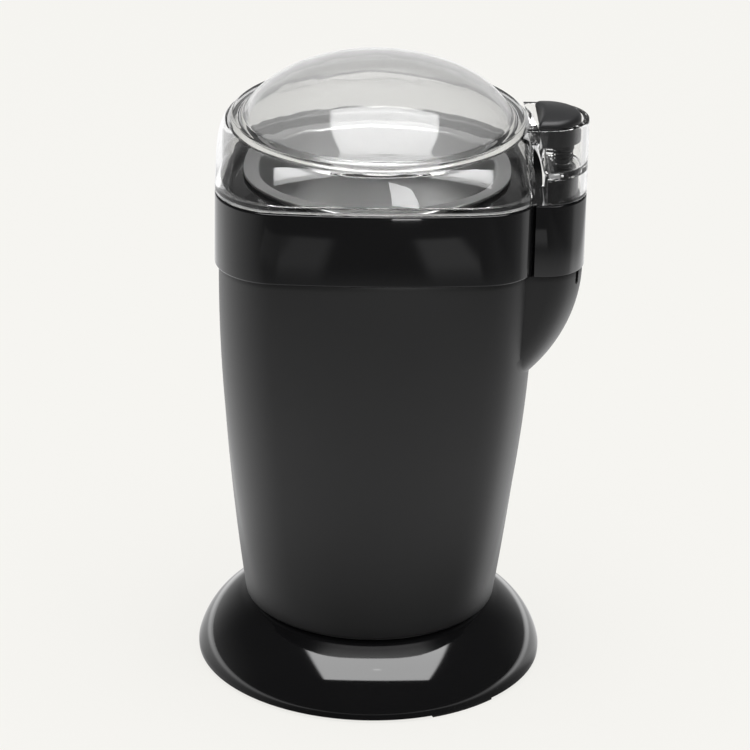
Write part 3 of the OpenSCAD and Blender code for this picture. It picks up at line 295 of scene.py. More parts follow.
def rounded(corners, steps=5):
    """Points of a line of (x, y) or (x, y, radius) corners, with each radius blended in."""
    line = []
    for i, corner in enumerate(corners):
        here = Vector(corner[:2])
        if len(corner) < 3 or i in (0, len(corners) - 1):
            line.append(tuple(here))
            continue
        before = Vector(corners[i - 1][:2]) - here
        after = Vector(corners[i + 1][:2]) - here
        reach = min(corner[2], before.length * NEAR_HALF, after.length * NEAR_HALF)
        start = here + before.normalized() * reach
        end = here + after.normalized() * reach
        for k in range(steps + 1):
            t = k / steps
            line.append(tuple(start * (1 - t) ** 2 + here * 2 * t * (1 - t) + end * t * t))
    return line


print("an eased corner has", len(rounded([(0, 0), (9, 0, 2), (9, 9)])) - 2, "points")

# %% [markdown]
# ## Turning
# Round pieces are turned, as on a lathe: a ring of vertices is laid on the half profile and spun.
# An open profile first loses the edge that would close it. Spinning leaves doubled points and loose
# edges on the axis, so every mesh is tidied before it is used.

# %% Turn a profile
DOUBLES = 0.002 * MM  # points closer than this are one point


def only(piece):
    """Makes this piece the only one selected."""
    bpy.ops.object.select_all(action="DESELECT")
    piece.select_set(True)
    bpy.context.view_layer.objects.active = piece


def tidy(piece, angle=35):
    """Merges doubles, drops loose edges, turns faces outwards and shades soft edges smooth."""
    only(piece)
    bpy.ops.object.mode_set(mode="EDIT")
    bpy.ops.mesh.select_all(action="SELECT")
    bpy.ops.mesh.remove_doubles(threshold=DOUBLES)
    bpy.ops.mesh.delete_loose(use_verts=True, use_edges=True, use_faces=False)
    bpy.ops.mesh.select_all(action="SELECT")
    bpy.ops.mesh.normals_make_consistent(inside=False)
    bpy.ops.object.mode_set(mode="OBJECT")
    bpy.ops.object.transform_apply(location=True, rotation=True, scale=True)
    bpy.ops.object.shade_smooth_by_angle(angle=math.radians(angle))
    return piece


def new_ring(name, count):
    """A circle of vertices, which is then laid on a profile or a section."""
    bpy.ops.mesh.primitive_circle_add(vertices=count, radius=1)
    piece = bpy.context.object
    piece.name = piece.data.name = name
    return piece


def turned(name, line, steps=160, closed=False, centre=(0, 0)):
    """A profile of (radius, height) points in mm, spun about an upright axis."""
    piece = new_ring(name, len(line))
    for vertex, (radius, height) in zip(piece.data.vertices, line):
        vertex.co = (radius * MM, 0, height * MM)
    if not closed:
        for edge in piece.data.edges:
            edge.select = set(edge.vertices) == {0, len(line) - 1}
        for vertex in piece.data.vertices:
            vertex.select = vertex.index in (0, len(line) - 1)
        bpy.ops.object.mode_set(mode="EDIT")
        bpy.context.tool_settings.mesh_select_mode = (False, True, False)
        bpy.ops.mesh.delete(type="EDGE_FACE")
    bpy.ops.object.mode_set(mode="EDIT")
    bpy.ops.mesh.select_all(action="SELECT")
    bpy.ops.mesh.spin(steps=steps, angle=2 * math.pi, center=(0, 0, 0), axis=(0, 0, 1))
    bpy.ops.mesh.select_all(action="SELECT")
    bpy.ops.mesh.remove_doubles(threshold=DOUBLES)
    if centre != (0, 0):
        bpy.ops.transform.translate(value=(centre[0] * MM, centre[1] * MM, 0))
    bpy.ops.object.mode_set(mode="OBJECT")
    return tidy(piece)


# %% [markdown]
# ## The foot
# The foot is one gloss moulding, flared like a trumpet, with a plain band round its rim. Its flank
# is an arc of 24 mm radius, so it is turned in one go: from the spigot that goes up into the body,
# down the outside, round the rim and up the inside to the hub.

# %% Turn the foot
FOOT_R, FOOT_TOP_R, FLARE, FOOT_WALL = 55.2, 41.0, 24.0, 2.4
SPIGOT_R, HUB_R = 29.7, 19.55


def foot_arc(inset, count=26):
    """The foot's flank from its rim to its top edge, moved inwards by inset."""
    x0, z0, x1, z1 = FOOT_R, BAND, FOOT_TOP_R, FOOT_TOP
    dx, dz = x1 - x0, z1 - z0
    chord = math.hypot(dx, dz)
    sag = math.sqrt(FLARE * FLARE - chord * chord / 4)
    cx, cz = (x0 + x1) / 2 - dz / chord * sag, (z0 + z1) / 2 + dx / chord * sag
    a0, a1 = math.atan2(z0 - cz, x0 - cx), math.atan2(z1 - cz, x1 - cx)
    angles = [a0 + (a1 - a0) * i / count for i in range(count + 1)]
    r = FLARE - inset
    return [(cx + r * math.cos(a), cz + r * math.sin(a)) for a in angles]


outside = foot_arc(0)
inside = [p for p in foot_arc(FOOT_WALL) if p[1] < 15.6]
spigot = rounded([
    (0, NECK + 2.4), (SPIGOT_R, NECK + 2.4), (SPIGOT_R, NECK), (37.5, NECK, 0.3),
    (37.5, FOOT_TOP + 1.3, 0.3), (38.5, FOOT_TOP + 1.4, 0.3), outside[-1]])
rim = rounded([outside[1], (FOOT_R, BAND, 0.5), (FOOT_R, RIM, 0.5), (52.8, RIM, 0.4), inside[1]])
hub = rounded([(inside[-1][0] - 1, 16.6), (HUB_R, 16.6), (HUB_R, 14.2, 0.4), (0, 14.2)], 3)
foot = turned("foot", spigot + outside[-2:0:-1] + rim[1:-1] + inside[1:] + hub)
print("foot rim", round(max(v.co.x for v in foot.data.vertices) / MM, 2), "mm")

# %% [markdown]
# ## Cutting and welding
# Pins in the real mould make the holes. Here a boolean modifier cuts a tool out of a piece or welds
# it on, and is applied at once. A tool reaches past the face that it cuts, because two faces in one
# plane make a boolean fail. Holes of one kind are cut together.

# %% Cut the foot's holes
SCREWS, VENTS, CORD_WAY = (14, 1.6), (25.8, 1.8), 4.0  # circle and radius in mm, radius in mm


def combine(piece, tool, how, angle=35):
    """Joins a tool to a piece (UNION) or cuts it out (DIFFERENCE), and takes the tool away."""
    only(piece)
    step = piece.modifiers.new(how.lower(), "BOOLEAN")
    step.operation = how
    step.solver = "EXACT"
    step.object = tool
    bpy.ops.object.modifier_apply(modifier=step.name)
    bpy.data.objects.remove(tool)
    bpy.ops.object.shade_smooth_by_angle(angle=math.radians(angle))
    return piece


def joined(piece, *others):
    """Makes one object of several shells that run into each other."""
    only(piece)
    for other in others:
        other.select_set(True)
    bpy.ops.object.join()
    return piece


def install(piece, *nodes, body="stand", finish=None):
    """Gives a new piece its finish, and lets it stand for its solids and ride on their body."""
    piece.data.materials.clear()
    piece.data.materials.append(FINISH[finish or slot_of[nodes[0]]])
    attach(piece, body)
    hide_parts(*nodes)
    print(piece.name, len(piece.data.polygons), "faces")
    return piece


holes = [(polar(SCREWS[0], a), SCREWS[1]) for a in (30, 150, 270)]
holes += [(polar(VENTS[0], a), VENTS[1]) for a in range(15, 360, 30)] + [((0, 9), CORD_WAY)]
pins = [turned("hole", [(0, 12), (radius, 12), (radius, 30), (0, 30)], steps=24, centre=place)
        for place, radius in holes]
foot = combine(foot, joined(*pins), "DIFFERENCE")
print(len(holes), "holes in the foot")

# %% [markdown]
# ## Lofting
# Most pieces here aren't round, so they are lofted: a circle of vertices is extruded once for each
# section, and every ring is then laid on its own. The two ends are capped, or bridged where the
# skin goes up outside and down inside. The first use is small: the arch for the cord in the foot.

# %% Loft the cord's notch


def lofted(name, sections, ends="cap"):
    """A skin through closed sections of equal length, in mm; its ends are capped or joined."""
    count = len(sections[0])
    piece = new_ring(name, count)
    bpy.ops.object.mode_set(mode="EDIT")
    for _ in sections[1:]:
        bpy.ops.mesh.extrude_edges_move(TRANSFORM_OT_translate={"value": (0, 0, 1)})
    bpy.ops.mesh.select_all(action="DESELECT")
    bpy.ops.mesh.select_non_manifold()
    if ends == "join":
        bpy.ops.mesh.bridge_edge_loops()
    else:
        bpy.ops.mesh.edge_face_add()
    bpy.ops.object.mode_set(mode="OBJECT")
    turn = count / (2 * math.pi)
    for vertex in piece.data.vertices:
        x, y, level = vertex.co
        place = sections[round(level)][round(math.atan2(y, x) * turn) % count]
        vertex.co = [v * MM for v in place]
    return tidy(piece)


arch = [polar(5, a, (0, 9.4)) for a in range(0, 181, 10)]
arch += [(-5, 0.3), (-5.4, -0.2), (5.4, -0.2), (5, 0.3)]
notch = lofted("notch", [[(x, y, z) for x, z in arch] for y in (43.2, 63.2)])
foot = install(combine(foot, notch, "DIFFERENCE"), "base_shell")

# %% [markdown]
# ## The body
# The body is round at the neck and square-fronted at the collar, and a fin grows out of its right
# side to meet the pod. No primitive does that, so it is lofted: every section mixes the circle and
# the plan, more of the plan the higher it lies. Between the two bearings at which the fin leaves
# the body the section follows the fin's round end, so the crease runs cleanly down to its tip.

# %% Measure the body and its fin
FIN_H, FIN_R, NECK_R = 35.0, 12.48, 39.9


def body_radius(bearing, z, inset=0.0):
    """Distance from the axis to the body's skin."""
    share = 1 - ((SEAM - z) / (SEAM - NECK)) ** 2
    return (1 - share) * NECK_R + share * plan_radius(bearing, BODY) - inset


TIP = math.degrees(math.atan2(BODY[0], POD_Y))
TIP_X = body_radius(TIP, SEAM - FIN_H) * math.sin(math.radians(TIP))


def fin_reach(z):
    """How far the fin stands out at a height: an arc that starts upright under the pod."""
    run, drop = POD_X + FIN_R - TIP_X, SEAM - z
    curve = (FIN_H**2 + run**2) / (2 * run)
    return 0 if drop >= FIN_H else POD_X + FIN_R - curve + math.sqrt(curve**2 - drop**2)


def fin_radius(bearing, cx, r):
    """Far side of the fin's outline along a bearing, or 0 where it is missed."""
    s, c = math.sin(math.radians(bearing)), math.cos(math.radians(bearing))
    y_end, dot = -cx * c / s, cx * s + POD_Y * c
    root = dot * dot - cx * cx - POD_Y**2 + r * r
    if y_end > r - POD_Y:
        return 0
    if y_end < -r - POD_Y:
        return (POD_Y + r) / c
    return dot + math.sqrt(root) if root > 0 else 0


print("the fin's tip lies at", round(TIP, 1), "degrees; it reaches", round(fin_reach(SEAM), 1))

# %% Draw a section of the body
AROUND_BODY, AROUND_FIN, HALVINGS = 150, 34, 22


def crease(on, off, z, cx, r, inset):
    """The bearing at which the fin meets the body, found by halving."""
    for _ in range(HALVINGS):
        mid = (on + off) / 2
        if fin_radius(mid, cx, r) > body_radius(mid, z, inset):
            on = mid
        else:
            off = mid
    return (on + off) / 2


def body_section(z, inset=0.0):
    """One section: the long way round the body, then across the fin's end."""
    r, cx = FIN_R - inset, fin_reach(z) - FIN_R
    on = math.degrees(math.atan2(cx + r, POD_Y))
    finned = fin_reach(z) > 0 and fin_radius(on, cx, r) > body_radius(on, z, inset)
    spread = 1.5 + 10 * (SEAM - FIN_H - z) / (SEAM - NECK)
    first = crease(on, 20, z, cx, r, inset) if finned else TIP - spread
    last = crease(on, 89, z, cx, r, inset) if finned else TIP + spread
    ring = []
    for i in range(AROUND_BODY + 1):
        a = last + (360 + first - last) * i / AROUND_BODY
        ring.append(at_bearing(a, body_radius(a, z, inset), z))
    p0, p1 = ring[-1], ring[0]
    e0 = -90 if p0[0] < cx else math.degrees(math.atan2(p0[1] + POD_Y, p0[0] - cx))
    e1 = 90 if p1[0] < cx else math.degrees(math.atan2(p1[1] + POD_Y, p1[0] - cx))
    for i in range(1, AROUND_FIN + 1):
        share = i / (AROUND_FIN + 1)
        b = first + (last - first) * share
        on_fin = polar(r, e0 + (e1 - e0) * share, (cx, -POD_Y)) + (z,)
        ring.append(on_fin if finned else at_bearing(b, body_radius(b, z, inset), z))
    return ring


print("a section of the body has", len(body_section(SEAM)), "points")

# %% Loft the body
BODY_WALL, LIP_R = 2.4, 1.2
FIN_Z = SEAM - FIN_H


def rounded_off(ring, radius, z):
    """The same points pulled onto a circle, at another height."""
    return [(x * radius / math.hypot(x, y), y * radius / math.hypot(x, y), z) for x, y, _ in ring]


heights = [NECK + LIP_R + (FIN_Z - NECK - LIP_R) * i / 26 for i in range(27)]
heights += [FIN_Z + (FIN_H - 0.4) * (i / 30) ** 1.5 for i in range(1, 31)]
outside = [body_section(z) for z in heights]
lip = []
for degrees in (90, 70, 50, 30, 15):
    a = math.radians(degrees)
    lip.append(body_section(NECK + LIP_R - LIP_R * math.sin(a), LIP_R - LIP_R * math.cos(a)))
rim = [body_section(SEAM - 0.12, 0.12), body_section(SEAM, 0.4)]
inner = [body_section(z, BODY_WALL) for z in (SEAM, 138, 130, 122, 114, 104, 84, 64, 44, 23.6)]
bottom = [rounded_off(inner[-1], 30.0, 23.6), rounded_off(inner[-1], 30.0, NECK)]
body = lofted("body", lip + outside + rim + inner + bottom, ends="join")
print("the body has", len(body.data.vertices), "vertices")

# %% [markdown]
# ## The service slot
# A screwdriver goes into a small slot to free the collar. It lies on the fin, right under the pod,
# upright with a round lower end. The tool that cuts it is lofted between two such outlines.

# %% Cut the service slot
SLOT_A, SLOT_HALF, SLOT_END, SLOT_TOP = -32, 0.85, 141.4, 146.0
outline = [(-SLOT_HALF, SLOT_TOP)]
outline += [polar(-SLOT_HALF, a, (0, SLOT_END)) for a in range(0, 181, 20)]
outline += [(SLOT_HALF, SLOT_TOP)]
slot_x, slot_y = polar(FIN_R - 0.9, SLOT_A, (POD_X, -POD_Y))
c, s = polar(1, SLOT_A)
rings = [[(slot_x + depth * c - u * s, slot_y + depth * s + u * c, z) for u, z in outline]
         for depth in (-0.6, 4.0)]
body = install(combine(body, lofted("slot", rings), "DIFFERENCE"), "lower_housing")

# %% [markdown]
# ## The collar
# The collar is a gloss moulding whose wall, rim, deck and bowl well form one closed section that
# runs round the plan. A block with pockets cut out would do too, but a loft gives the rim its soft
# edge, which catches the light all the way round.

# %% Loft the collar's ring
under_deck, well_r = DECK - 2.6, 37.9
wall = rounded([(1.4, SEAM), (0, SEAM, 0.6), (0, TOP, 0.8), (3.0, TOP, 0.5), (3.0, DECK, 0.3),
                (4.2, DECK)])
bowl_well = rounded([(42.6, DECK), (well_r, DECK, 0.6), (well_r, 153.6, 0.3),
                     (well_r + 2, 153.6, 0.3), (well_r + 2, under_deck)], 4)
back = [(3.6, under_deck), (3.0, under_deck - 0.6), (3.0, SEAM)]
rings = plan_rings(wall) + round_rings(bowl_well) + plan_rings(back)
collar = lofted("collar", rings, ends="join")
print("collar ring", len(collar.data.vertices), "vertices")

# %% [markdown]
# ## The pod and the switch boss
# The pod at the front right holds the switch, and a boss on it guides the plunger that the button
# pushes. Both are blocks with eased edges that are welded on. The pod's inside is cut out first,
# then the plunger's guide is welded in and bored.

# %% Weld the pod and the boss on
pod = lofted("pod", [pod_ring(i, 47.6, z) for i, z in (
    (0.35, SEAM + 0.02), (0.1, SEAM + 0.12), (0, SEAM + 0.4), (0, TOP - 0.62), (0.06, TOP - 0.35),
    (0.24, TOP - 0.12), (0.6, TOP - 0.02))])
collar = combine(collar, pod, "UNION")
boss = lofted("boss", [pod_ring(2.7 + i, 50.9 + i, z, side=8) for i, z in (
    (0, TOP - 3), (0, BOSS - 1.3), (0.1, BOSS - 0.8), (0.4, BOSS - 0.35), (0.8, BOSS - 0.1),
    (1.3, BOSS))])
collar = combine(collar, boss, "UNION")
print("collar with its pod", len(collar.data.vertices), "vertices")

# %% Hollow the pod
STEM_AT = (55.95, -POD_Y)  # the axis that the button's stem and the plunger share
guide = turned("guide", [(0, 160.9), (5.5, 160.9), (5.5, 167), (0, 167)], steps=48, centre=STEM_AT)
cavity = lofted("cavity", [pod_ring(3.0, 42.7, z) for z in (140, under_deck)])
collar = combine(collar, cavity, "DIFFERENCE")
collar = combine(collar, guide, "UNION")
well = turned("well", rounded([(0, 163.4), (3.9, 163.4), (3.9, BOSS, 0.5), (4.6, BOSS + 0.2),
                               (4.6, 185), (0, 185)]), steps=64, centre=STEM_AT)
collar = combine(collar, well, "DIFFERENCE")
bore = turned("bore", [(0, 150), (1.66, 150), (1.66, 170), (0, 170)], steps=32, centre=STEM_AT)
collar = install(combine(collar, bore, "DIFFERENCE"), "upper_collar")

# %% [markdown]
# ## The bowl
# A deep-drawn steel bowl hangs in the collar by its flange, and its floor rises into a hub for the
# shaft's seal. It is turned from one closed line that keeps the sheet's 1 mm all the way round.

# %% Turn the bowl
SEAT, BOWL_FLOOR, HUB = 166.4, 125.4, 132.4
BEND_AT, BEND = (27.5, BOWL_FLOOR + 9), 9  # where the floor turns up into the wall


def arc(centre, r, start, end, count=12):
    """Points of an arc about a centre."""
    return [polar(r, start + (end - start) * i / count, centre) for i in range(count + 1)]


bowl_line = [(7.1, BOWL_FLOOR - 1)] + arc(BEND_AT, BEND + 1, -90, 0)
bowl_line += rounded([(37.5, SEAT - 1), (37.5, SEAT, 0.4), (41.8, SEAT, 0.4),
                      (41.8, SEAT + 1, 0.4), (39, SEAT + 1)], 4)
bowl_line += arc((37.7, SEAT - 0.2), 1.2, 90, 180, 8) + arc(BEND_AT, BEND, 0, -90)
bowl_line += rounded([(12, BOWL_FLOOR), (8.9, BOWL_FLOOR, 1.5), (8.5, HUB, 0.9), (7.1, HUB)], 5)
install(turned("bowl", bowl_line, closed=True), "grinding_bowl")

# %% [markdown]
# ## The lid
# The lid is a thin clear shell. Its side starts as the collar's plan and bulges up to a circle,
# then come a low ring and the dome. Inside, everything is repeated a wall's thickness away, down to
# the lip that drops into the collar. It is one closed loft, with a pole at the top of each skin.

# %% Draw the lid's sections
LID_WALL, SHOULDER_R, RING_R, DOME_R, DOME_W, DOME_H = 2.2, 46.8, 45.4, 42.0, 44.0, 17.0


def side_ring(t, top_r, inset, z):
    """A section of the bulging side: the plan at t = 0, a circle at t = 1."""
    share, bearings = math.sqrt(max(1 - t * t, 0)), [360 * i / AROUND for i in range(AROUND)]
    return [at_bearing(a, top_r + (plan_radius(a, COLLAR) - inset - top_r) * share, z)
            for a in bearings]


def dome_line(drop, count=30):
    """Half profile of the dome, from the ring up to its top."""
    cut = math.sqrt(1 - (DOME_R / DOME_W) ** 2)
    high = DOME_H / (1 - cut)
    low, start = RING - high * cut, math.degrees(math.asin(cut))
    line = []
    for i in range(count + 1):
        a = math.radians(start + (90 - start) * i / count)
        line.append(((DOME_W - drop) * math.cos(a), low + (high - drop) * math.sin(a)))
    return line


print("the dome's top lies at", round(dome_line(0)[-1][1], 1), "mm")

# %% Loft the lid's shell
rise = [math.sin(math.radians(90 * i / 24)) for i in range(1, 25)]
# outside: the bottom edge, the bulging side, the shoulder with its ring, and the dome
rings = plan_rings([(0.5, LID), (0.2, LID + 0.06), (0.05, LID + 0.25)])
rings += [side_ring(t, SHOULDER_R, 0, LID + t * 13.4) for t in rise if t > 0.04]
shoulder = rounded([(46.72, SHOULDER), (46.3, SHOULDER + 0.9, 0.3), (RING_R, RING, 0.5),
                    (DOME_R + 0.1, RING, 0.5), dome_line(0)[2]], 4)
rings += round_rings(shoulder[1:] + dome_line(0)[3:])
# inside: the dome, the hollow under the ring, the side, and the lip that drops into the collar
rings += round_rings([(r, z) for r, z in reversed(dome_line(LID_WALL)) if z > SHOULDER])
hollow = rounded([(40.6, SHOULDER + 0.2), (40.9, 181.9, 0.6), (42.9, 181.4, 1.2), (44.3, 179.6)], 4)
rings += round_rings(hollow[1:-1])
rings += [side_ring(t, SHOULDER_R - LID_WALL, LID_WALL, LID + t * 11.64)
          for t in reversed(rise) if 0.14 < t < 0.985]
lip = rounded([(2.2, 170.2), (2.3, 170.0), (4.9, 170.0, 0.4), (4.9, 166.0, 0.5), (3.3, 166.0, 0.5),
               (3.3, 168.8, 0.3), (1.1, 168.8), (1.0, LID)], 4)
rings += plan_rings(lip)
shell = lofted("lid", rings, ends="join")
print("lid shell", len(shell.data.vertices), "vertices")

# %% [markdown]
# ## The button's tab
# The tab is a U-shaped cup on the lid's right. It is welded on as a block, then its well and the
# pocket over the switch boss are cut out. Its rims are eased, because their thin bright lines make
# clear plastic readable. A second ring close to each eased edge keeps the upright faces shaded
# straight: without it their normals lean and the wall turns dark.

# %% Weld and hollow the tab
TAB_WALL, FOLD = 1.9, 186.9  # the tab's inner side is upright up to the fold, then it leans
BOW = 1.2  # the middle of the well's inner side lies this much further out than its ends
TAB_RINGS = ((0.4, LID + 0.04), (0.1, LID + 0.12), (0, LID + 0.4), (0, LID + 0.9), (0, 180),
             (0, FOLD), (0, TAB - 1), (0, TAB - 0.5), (0.08, TAB - 0.2), (0.25, TAB - 0.05),
             (0.5, TAB))
WELL_RINGS = ((0.5, WELL), (0.1, WELL + 0.15), (0, WELL + 0.5), (0, WELL + 1), (0, TAB - 1),
              (0, TAB - 0.5), (-0.1, TAB - 0.2), (-0.4, TAB + 0.02), (-0.4, TAB + 2))
POCKET_RINGS = ((-0.3, 160), (-0.3, LID + 0.15), (0, LID + 0.5), (0, FLOOR - 0.5), (0.5, FLOOR))


def tab_left(z):
    """The tab's inner side: upright, then flared towards the dome."""
    return 46.2 - 2.2 * max(z - FOLD, 0) / 6.0


def well_side(z):
    """The slanted inner side of the button's well."""
    return 50.9 - (z - WELL) * 3.5 / (TAB - WELL)


def well_ring(inset, z):
    """The well's outline: a U whose inner side is bowed like the dome that it faces."""
    ring = pod_ring(TAB_WALL + inset, well_side(z) + inset, z, side=10)
    return [(px - BOW * ((py + POD_Y) / (POD_R - TAB_WALL)) ** 2 if i > POD_ARC else px, py, pz)
            for i, (px, py, pz) in enumerate(ring)]


tab = lofted("tab", [pod_ring(i, tab_left(z) + i, z, side=10) for i, z in TAB_RINGS])
shell = combine(shell, tab, "UNION", 25)
well = lofted("well", [well_ring(i, z) for i, z in WELL_RINGS])
shell = combine(shell, well, "DIFFERENCE", 25)
pocket = lofted("pocket", [pod_ring(TAB_WALL + i, 50.5 + i, z, side=1) for i, z in POCKET_RINGS])
shell = combine(shell, pocket, "DIFFERENCE", 25)
print("lid with its tab", len(shell.data.vertices), "vertices")

# %% [markdown]
# ## The saddle and the stem's hole
# A fingertip comes down on the button, so a saddle is scooped out of the wall between it and the
# dome. The button's stem goes through a hole in the well's floor. At the end the dome's faces get
# the hazier plastic, a painted veil of light for the overhead softbox's glare, and the rest stays
# quite clear.

# %% Cut the saddle and the hole
SADDLE_Z, SADDLE_R = 187.0, 4.0
saddle = rounded([(-36.2, 197), (-35.6, SADDLE_Z, SADDLE_R), (-13.6, SADDLE_Z, SADDLE_R),
                  (-13.0, 197)], 8)
scoop = lofted("saddle", [[(x, y, z) for y, z in saddle] for x in (43.6, 50.4)])
shell = combine(shell, scoop, "DIFFERENCE", 25)
hole = turned("hole", [(0, 170), (2.36, 170), (2.36, 185), (0, 185)], steps=48, centre=STEM_AT)
lid = install(combine(shell, hole, "DIFFERENCE", 25), "lid_shell", body="lid")
# the dome's faces take the hazier plastic, a painted veil of the overhead softbox's light
lid.data.materials.append(FINISH["dome_painted_veil"])
for face in lid.data.polygons:
    inner = math.hypot(face.center.x, face.center.y) < DOME_R * MM
    face.material_index = 1 if inner and face.center.z > (RING - 0.5) * MM else 0
print(sum(face.material_index for face in lid.data.polygons), "painted_veil faces")

# %% [markdown]
# ## The start button
# The button is a soft grey moulding with a crowned top, a round outer end and an inner side that
# is hollow, as it follows the dome. That side is slanted, so the outline changes with height and
# the button is lofted ring by ring: up the skirt, to a point on the crown, and back down inside.
# Its stem is turned, and runs up into the roof of the hollow.

# %% Draw a section of the button
BUTTON_R, BUTTON_GAP, CORNER = 10.6, 1.1, 2.2
HOLLOW_X, HOLLOW_R = 22.2, 27.0
CROWN_R, CROWN_UP = 45, 0.7  # the crown is a sphere; its top is this far above the ring's level


def button_ring(inset, z, shrink=1.0, crown=False):
    """The button's outline at a height, eased at its two inner corners."""
    r = BUTTON_R - inset
    line = []
    for i in range(13):
        y = r - 2 * r * i / 12
        side = well_side(z) + BUTTON_GAP + inset - BOW * (y / BUTTON_R) ** 2
        line.append((max(side, HOLLOW_X + math.sqrt(HOLLOW_R**2 - y * y) + inset), -POD_Y + y))
    corners = [(POD_X, -POD_Y + r), line[0] + (CORNER,)] + line[2:-2]
    corners += [line[-1] + (CORNER,), (POD_X, -POD_Y - r)]
    ring = rounded(corners, 5)[1:-1]
    ring += [polar(r, -90 + 180 * i / POD_ARC, (POD_X, -POD_Y)) for i in range(POD_ARC + 1)]
    mid = Vector((54.6, -POD_Y))
    points = []
    for point in ring:
        p = mid + (Vector(point) - mid) * shrink
        sphere = math.sqrt(CROWN_R**2 - (p.x - POD_X) ** 2 - (p.y + POD_Y) ** 2)
        points.append((p.x, p.y, z - (CROWN_R - sphere - CROWN_UP if crown else 0)))
    return points


print("a section of the button has", len(button_ring(0, BUTTON)), "points")

# %% Loft the button and turn its stem
under = BUTTON - 8.3
rings = [button_ring(i, z) for i, z in (
    (0.3, under), (0.05, under + 0.1), (0, under + 0.35), (0, 189), (0, 191))]
rings += [button_ring(i, BUTTON - drop, crown=True) for i, drop in (
    (0, 1.5), (0.12, 0.9), (0.45, 0.42), (0.9, 0.12), (1.5, 0))]
rings += [button_ring(1.5, BUTTON, s, True) for s in (0.9, 0.78, 0.64, 0.5, 0.36, 0.22, 0.1, 0)]
rings += [button_ring(1.6, 192.0, s) for s in (0, 0.5, 1)]
rings += [button_ring(1.4, under + 0.3), button_ring(1.0, under)]
button = lofted("button", rings, ends="join")
stem_line = rounded([(0, 175.3), (2.3, 175.3, 0.4), (2.3, 182.9), (3.5, 182.9, 0.4), (3.5, 193),
                     (0, 193)])
stem = turned("stem", stem_line, steps=64, centre=STEM_AT)
button = install(joined(button, stem), "start_button", body="button")

# %% [markdown]
# ## The two return springs
# The button and the switch plunger each stand on a coil spring in its well. A screw modifier
# carries a ring of wire round and up within the box of the spring's solid. Each spring goes down
# with the piece it pushes up.

# %% Wind the springs
STEPS_PER_TURN = 24


def coil(node, turns, wire, body, finish=None):
    """A coil spring in its solid's box, which rides on its joint's body."""
    solid = frame["nodes"][node]
    corners = [solid.matrix_world @ Vector(corner) for corner in solid.bound_box]
    low, high = Vector(map(min, *corners)), Vector(map(max, *corners))
    wire *= MM
    bpy.ops.mesh.primitive_circle_add(vertices=8, radius=wire, rotation=(math.pi / 2, 0, 0),
                                      location=((high.x - low.x) / 2 - wire, 0, 0))
    spring = bpy.context.object
    spring.name = spring.data.name = node + "_coil"
    bpy.ops.object.transform_apply(location=True, rotation=True, scale=True)
    turn = spring.modifiers.new("turn", "SCREW")
    turn.angle = 2 * math.pi * turns
    turn.screw_offset = high.z - low.z - 2 * wire
    turn.steps = turn.render_steps = STEPS_PER_TURN * turns
    bpy.ops.object.modifier_apply(modifier=turn.name)
    bpy.ops.object.mode_set(mode="EDIT")
    bpy.ops.mesh.select_all(action="SELECT")
    bpy.ops.mesh.fill_holes(sides=0)
    bpy.ops.object.mode_set(mode="OBJECT")
    spring.location = ((low.x + high.x) / 2, (low.y + high.y) / 2, low.z + wire)
    install(tidy(spring), node, body=body, finish=finish)
    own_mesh(spring)


coil("button_spring", 3, 0.25, "button", "dark_spring")
coil("plunger_spring", 5, 0.3, "plunger")

# %% [markdown]
# ## The room that the object mirrors
# A black object is drawn by what it mirrors: a dark room in front, a pale sweep behind and at the
# sides, and one softbox overhead, which shows on the foot and the dome. Softboxes of real size
# would also light the scene, so the world does it: it holds all three for mirrored rays, a plain
# even light for the rest, and one pale colour where it is looked at directly.

# %% Compute with shader nodes


def step_node(tree, source, low, high, out_low=0.0, out_high=1.0):
    """A smooth step of a value between two limits."""
    node = new_node(tree, "MapRange", From_Min=low, From_Max=high, To_Min=out_low, To_Max=out_high)
    node.interpolation_type = "SMOOTHSTEP"
    tree.links.new(source, node.inputs["Value"])
    return node.outputs["Result"]


def product(tree, first, *others):
    """All these values multiplied, each a socket or a number."""
    for other in others:
        first = math_node(tree, "MULTIPLY", first, other)
    return first


def split(tree, vector):
    """The three axes of a vector."""
    node = new_node(tree, "SeparateXYZ")
    tree.links.new(vector, node.inputs["Vector"])
    return node.outputs


# %% Tell the light by bearing and by kind of ray
BRIGHTEST = 1.6  # a ramp only goes up to 1, so it stores brightness as a share of this


def round_about(tree, east, south, stops):
    """Brightness by bearing: stops of (degrees from the front, brightness)."""
    bearing = math_node(tree, "ARCTAN2", east, product(tree, south, -1))
    turn = math_node(tree, "ADD", math_node(tree, "DIVIDE", bearing, 2 * math.pi), 0.5)
    ramp = new_node(tree, "ValToRGB")
    marks = ramp.color_ramp.elements
    for degrees, bright in stops[1:-1]:
        marks.new(degrees / 360 + 0.5).color = [bright / BRIGHTEST] * 3 + [1]
    marks[0].color = marks[-1].color = [stops[0][1] / BRIGHTEST] * 3 + [1]
    tree.links.new(turn, ramp.inputs["Fac"])
    return product(tree, ramp.outputs["Color"], BRIGHTEST)


def straight_look(tree, path):
    """1 for what the camera sees directly or through clear plastic, 0 once a ray was mirrored."""
    ray = path.outputs
    direct = math_node(tree, "MAXIMUM", ray["Is Camera Ray"], ray["Is Transmission Ray"])
    return product(tree, direct, math_node(tree, "LESS_THAN", ray["Glossy Depth"], 0.5))


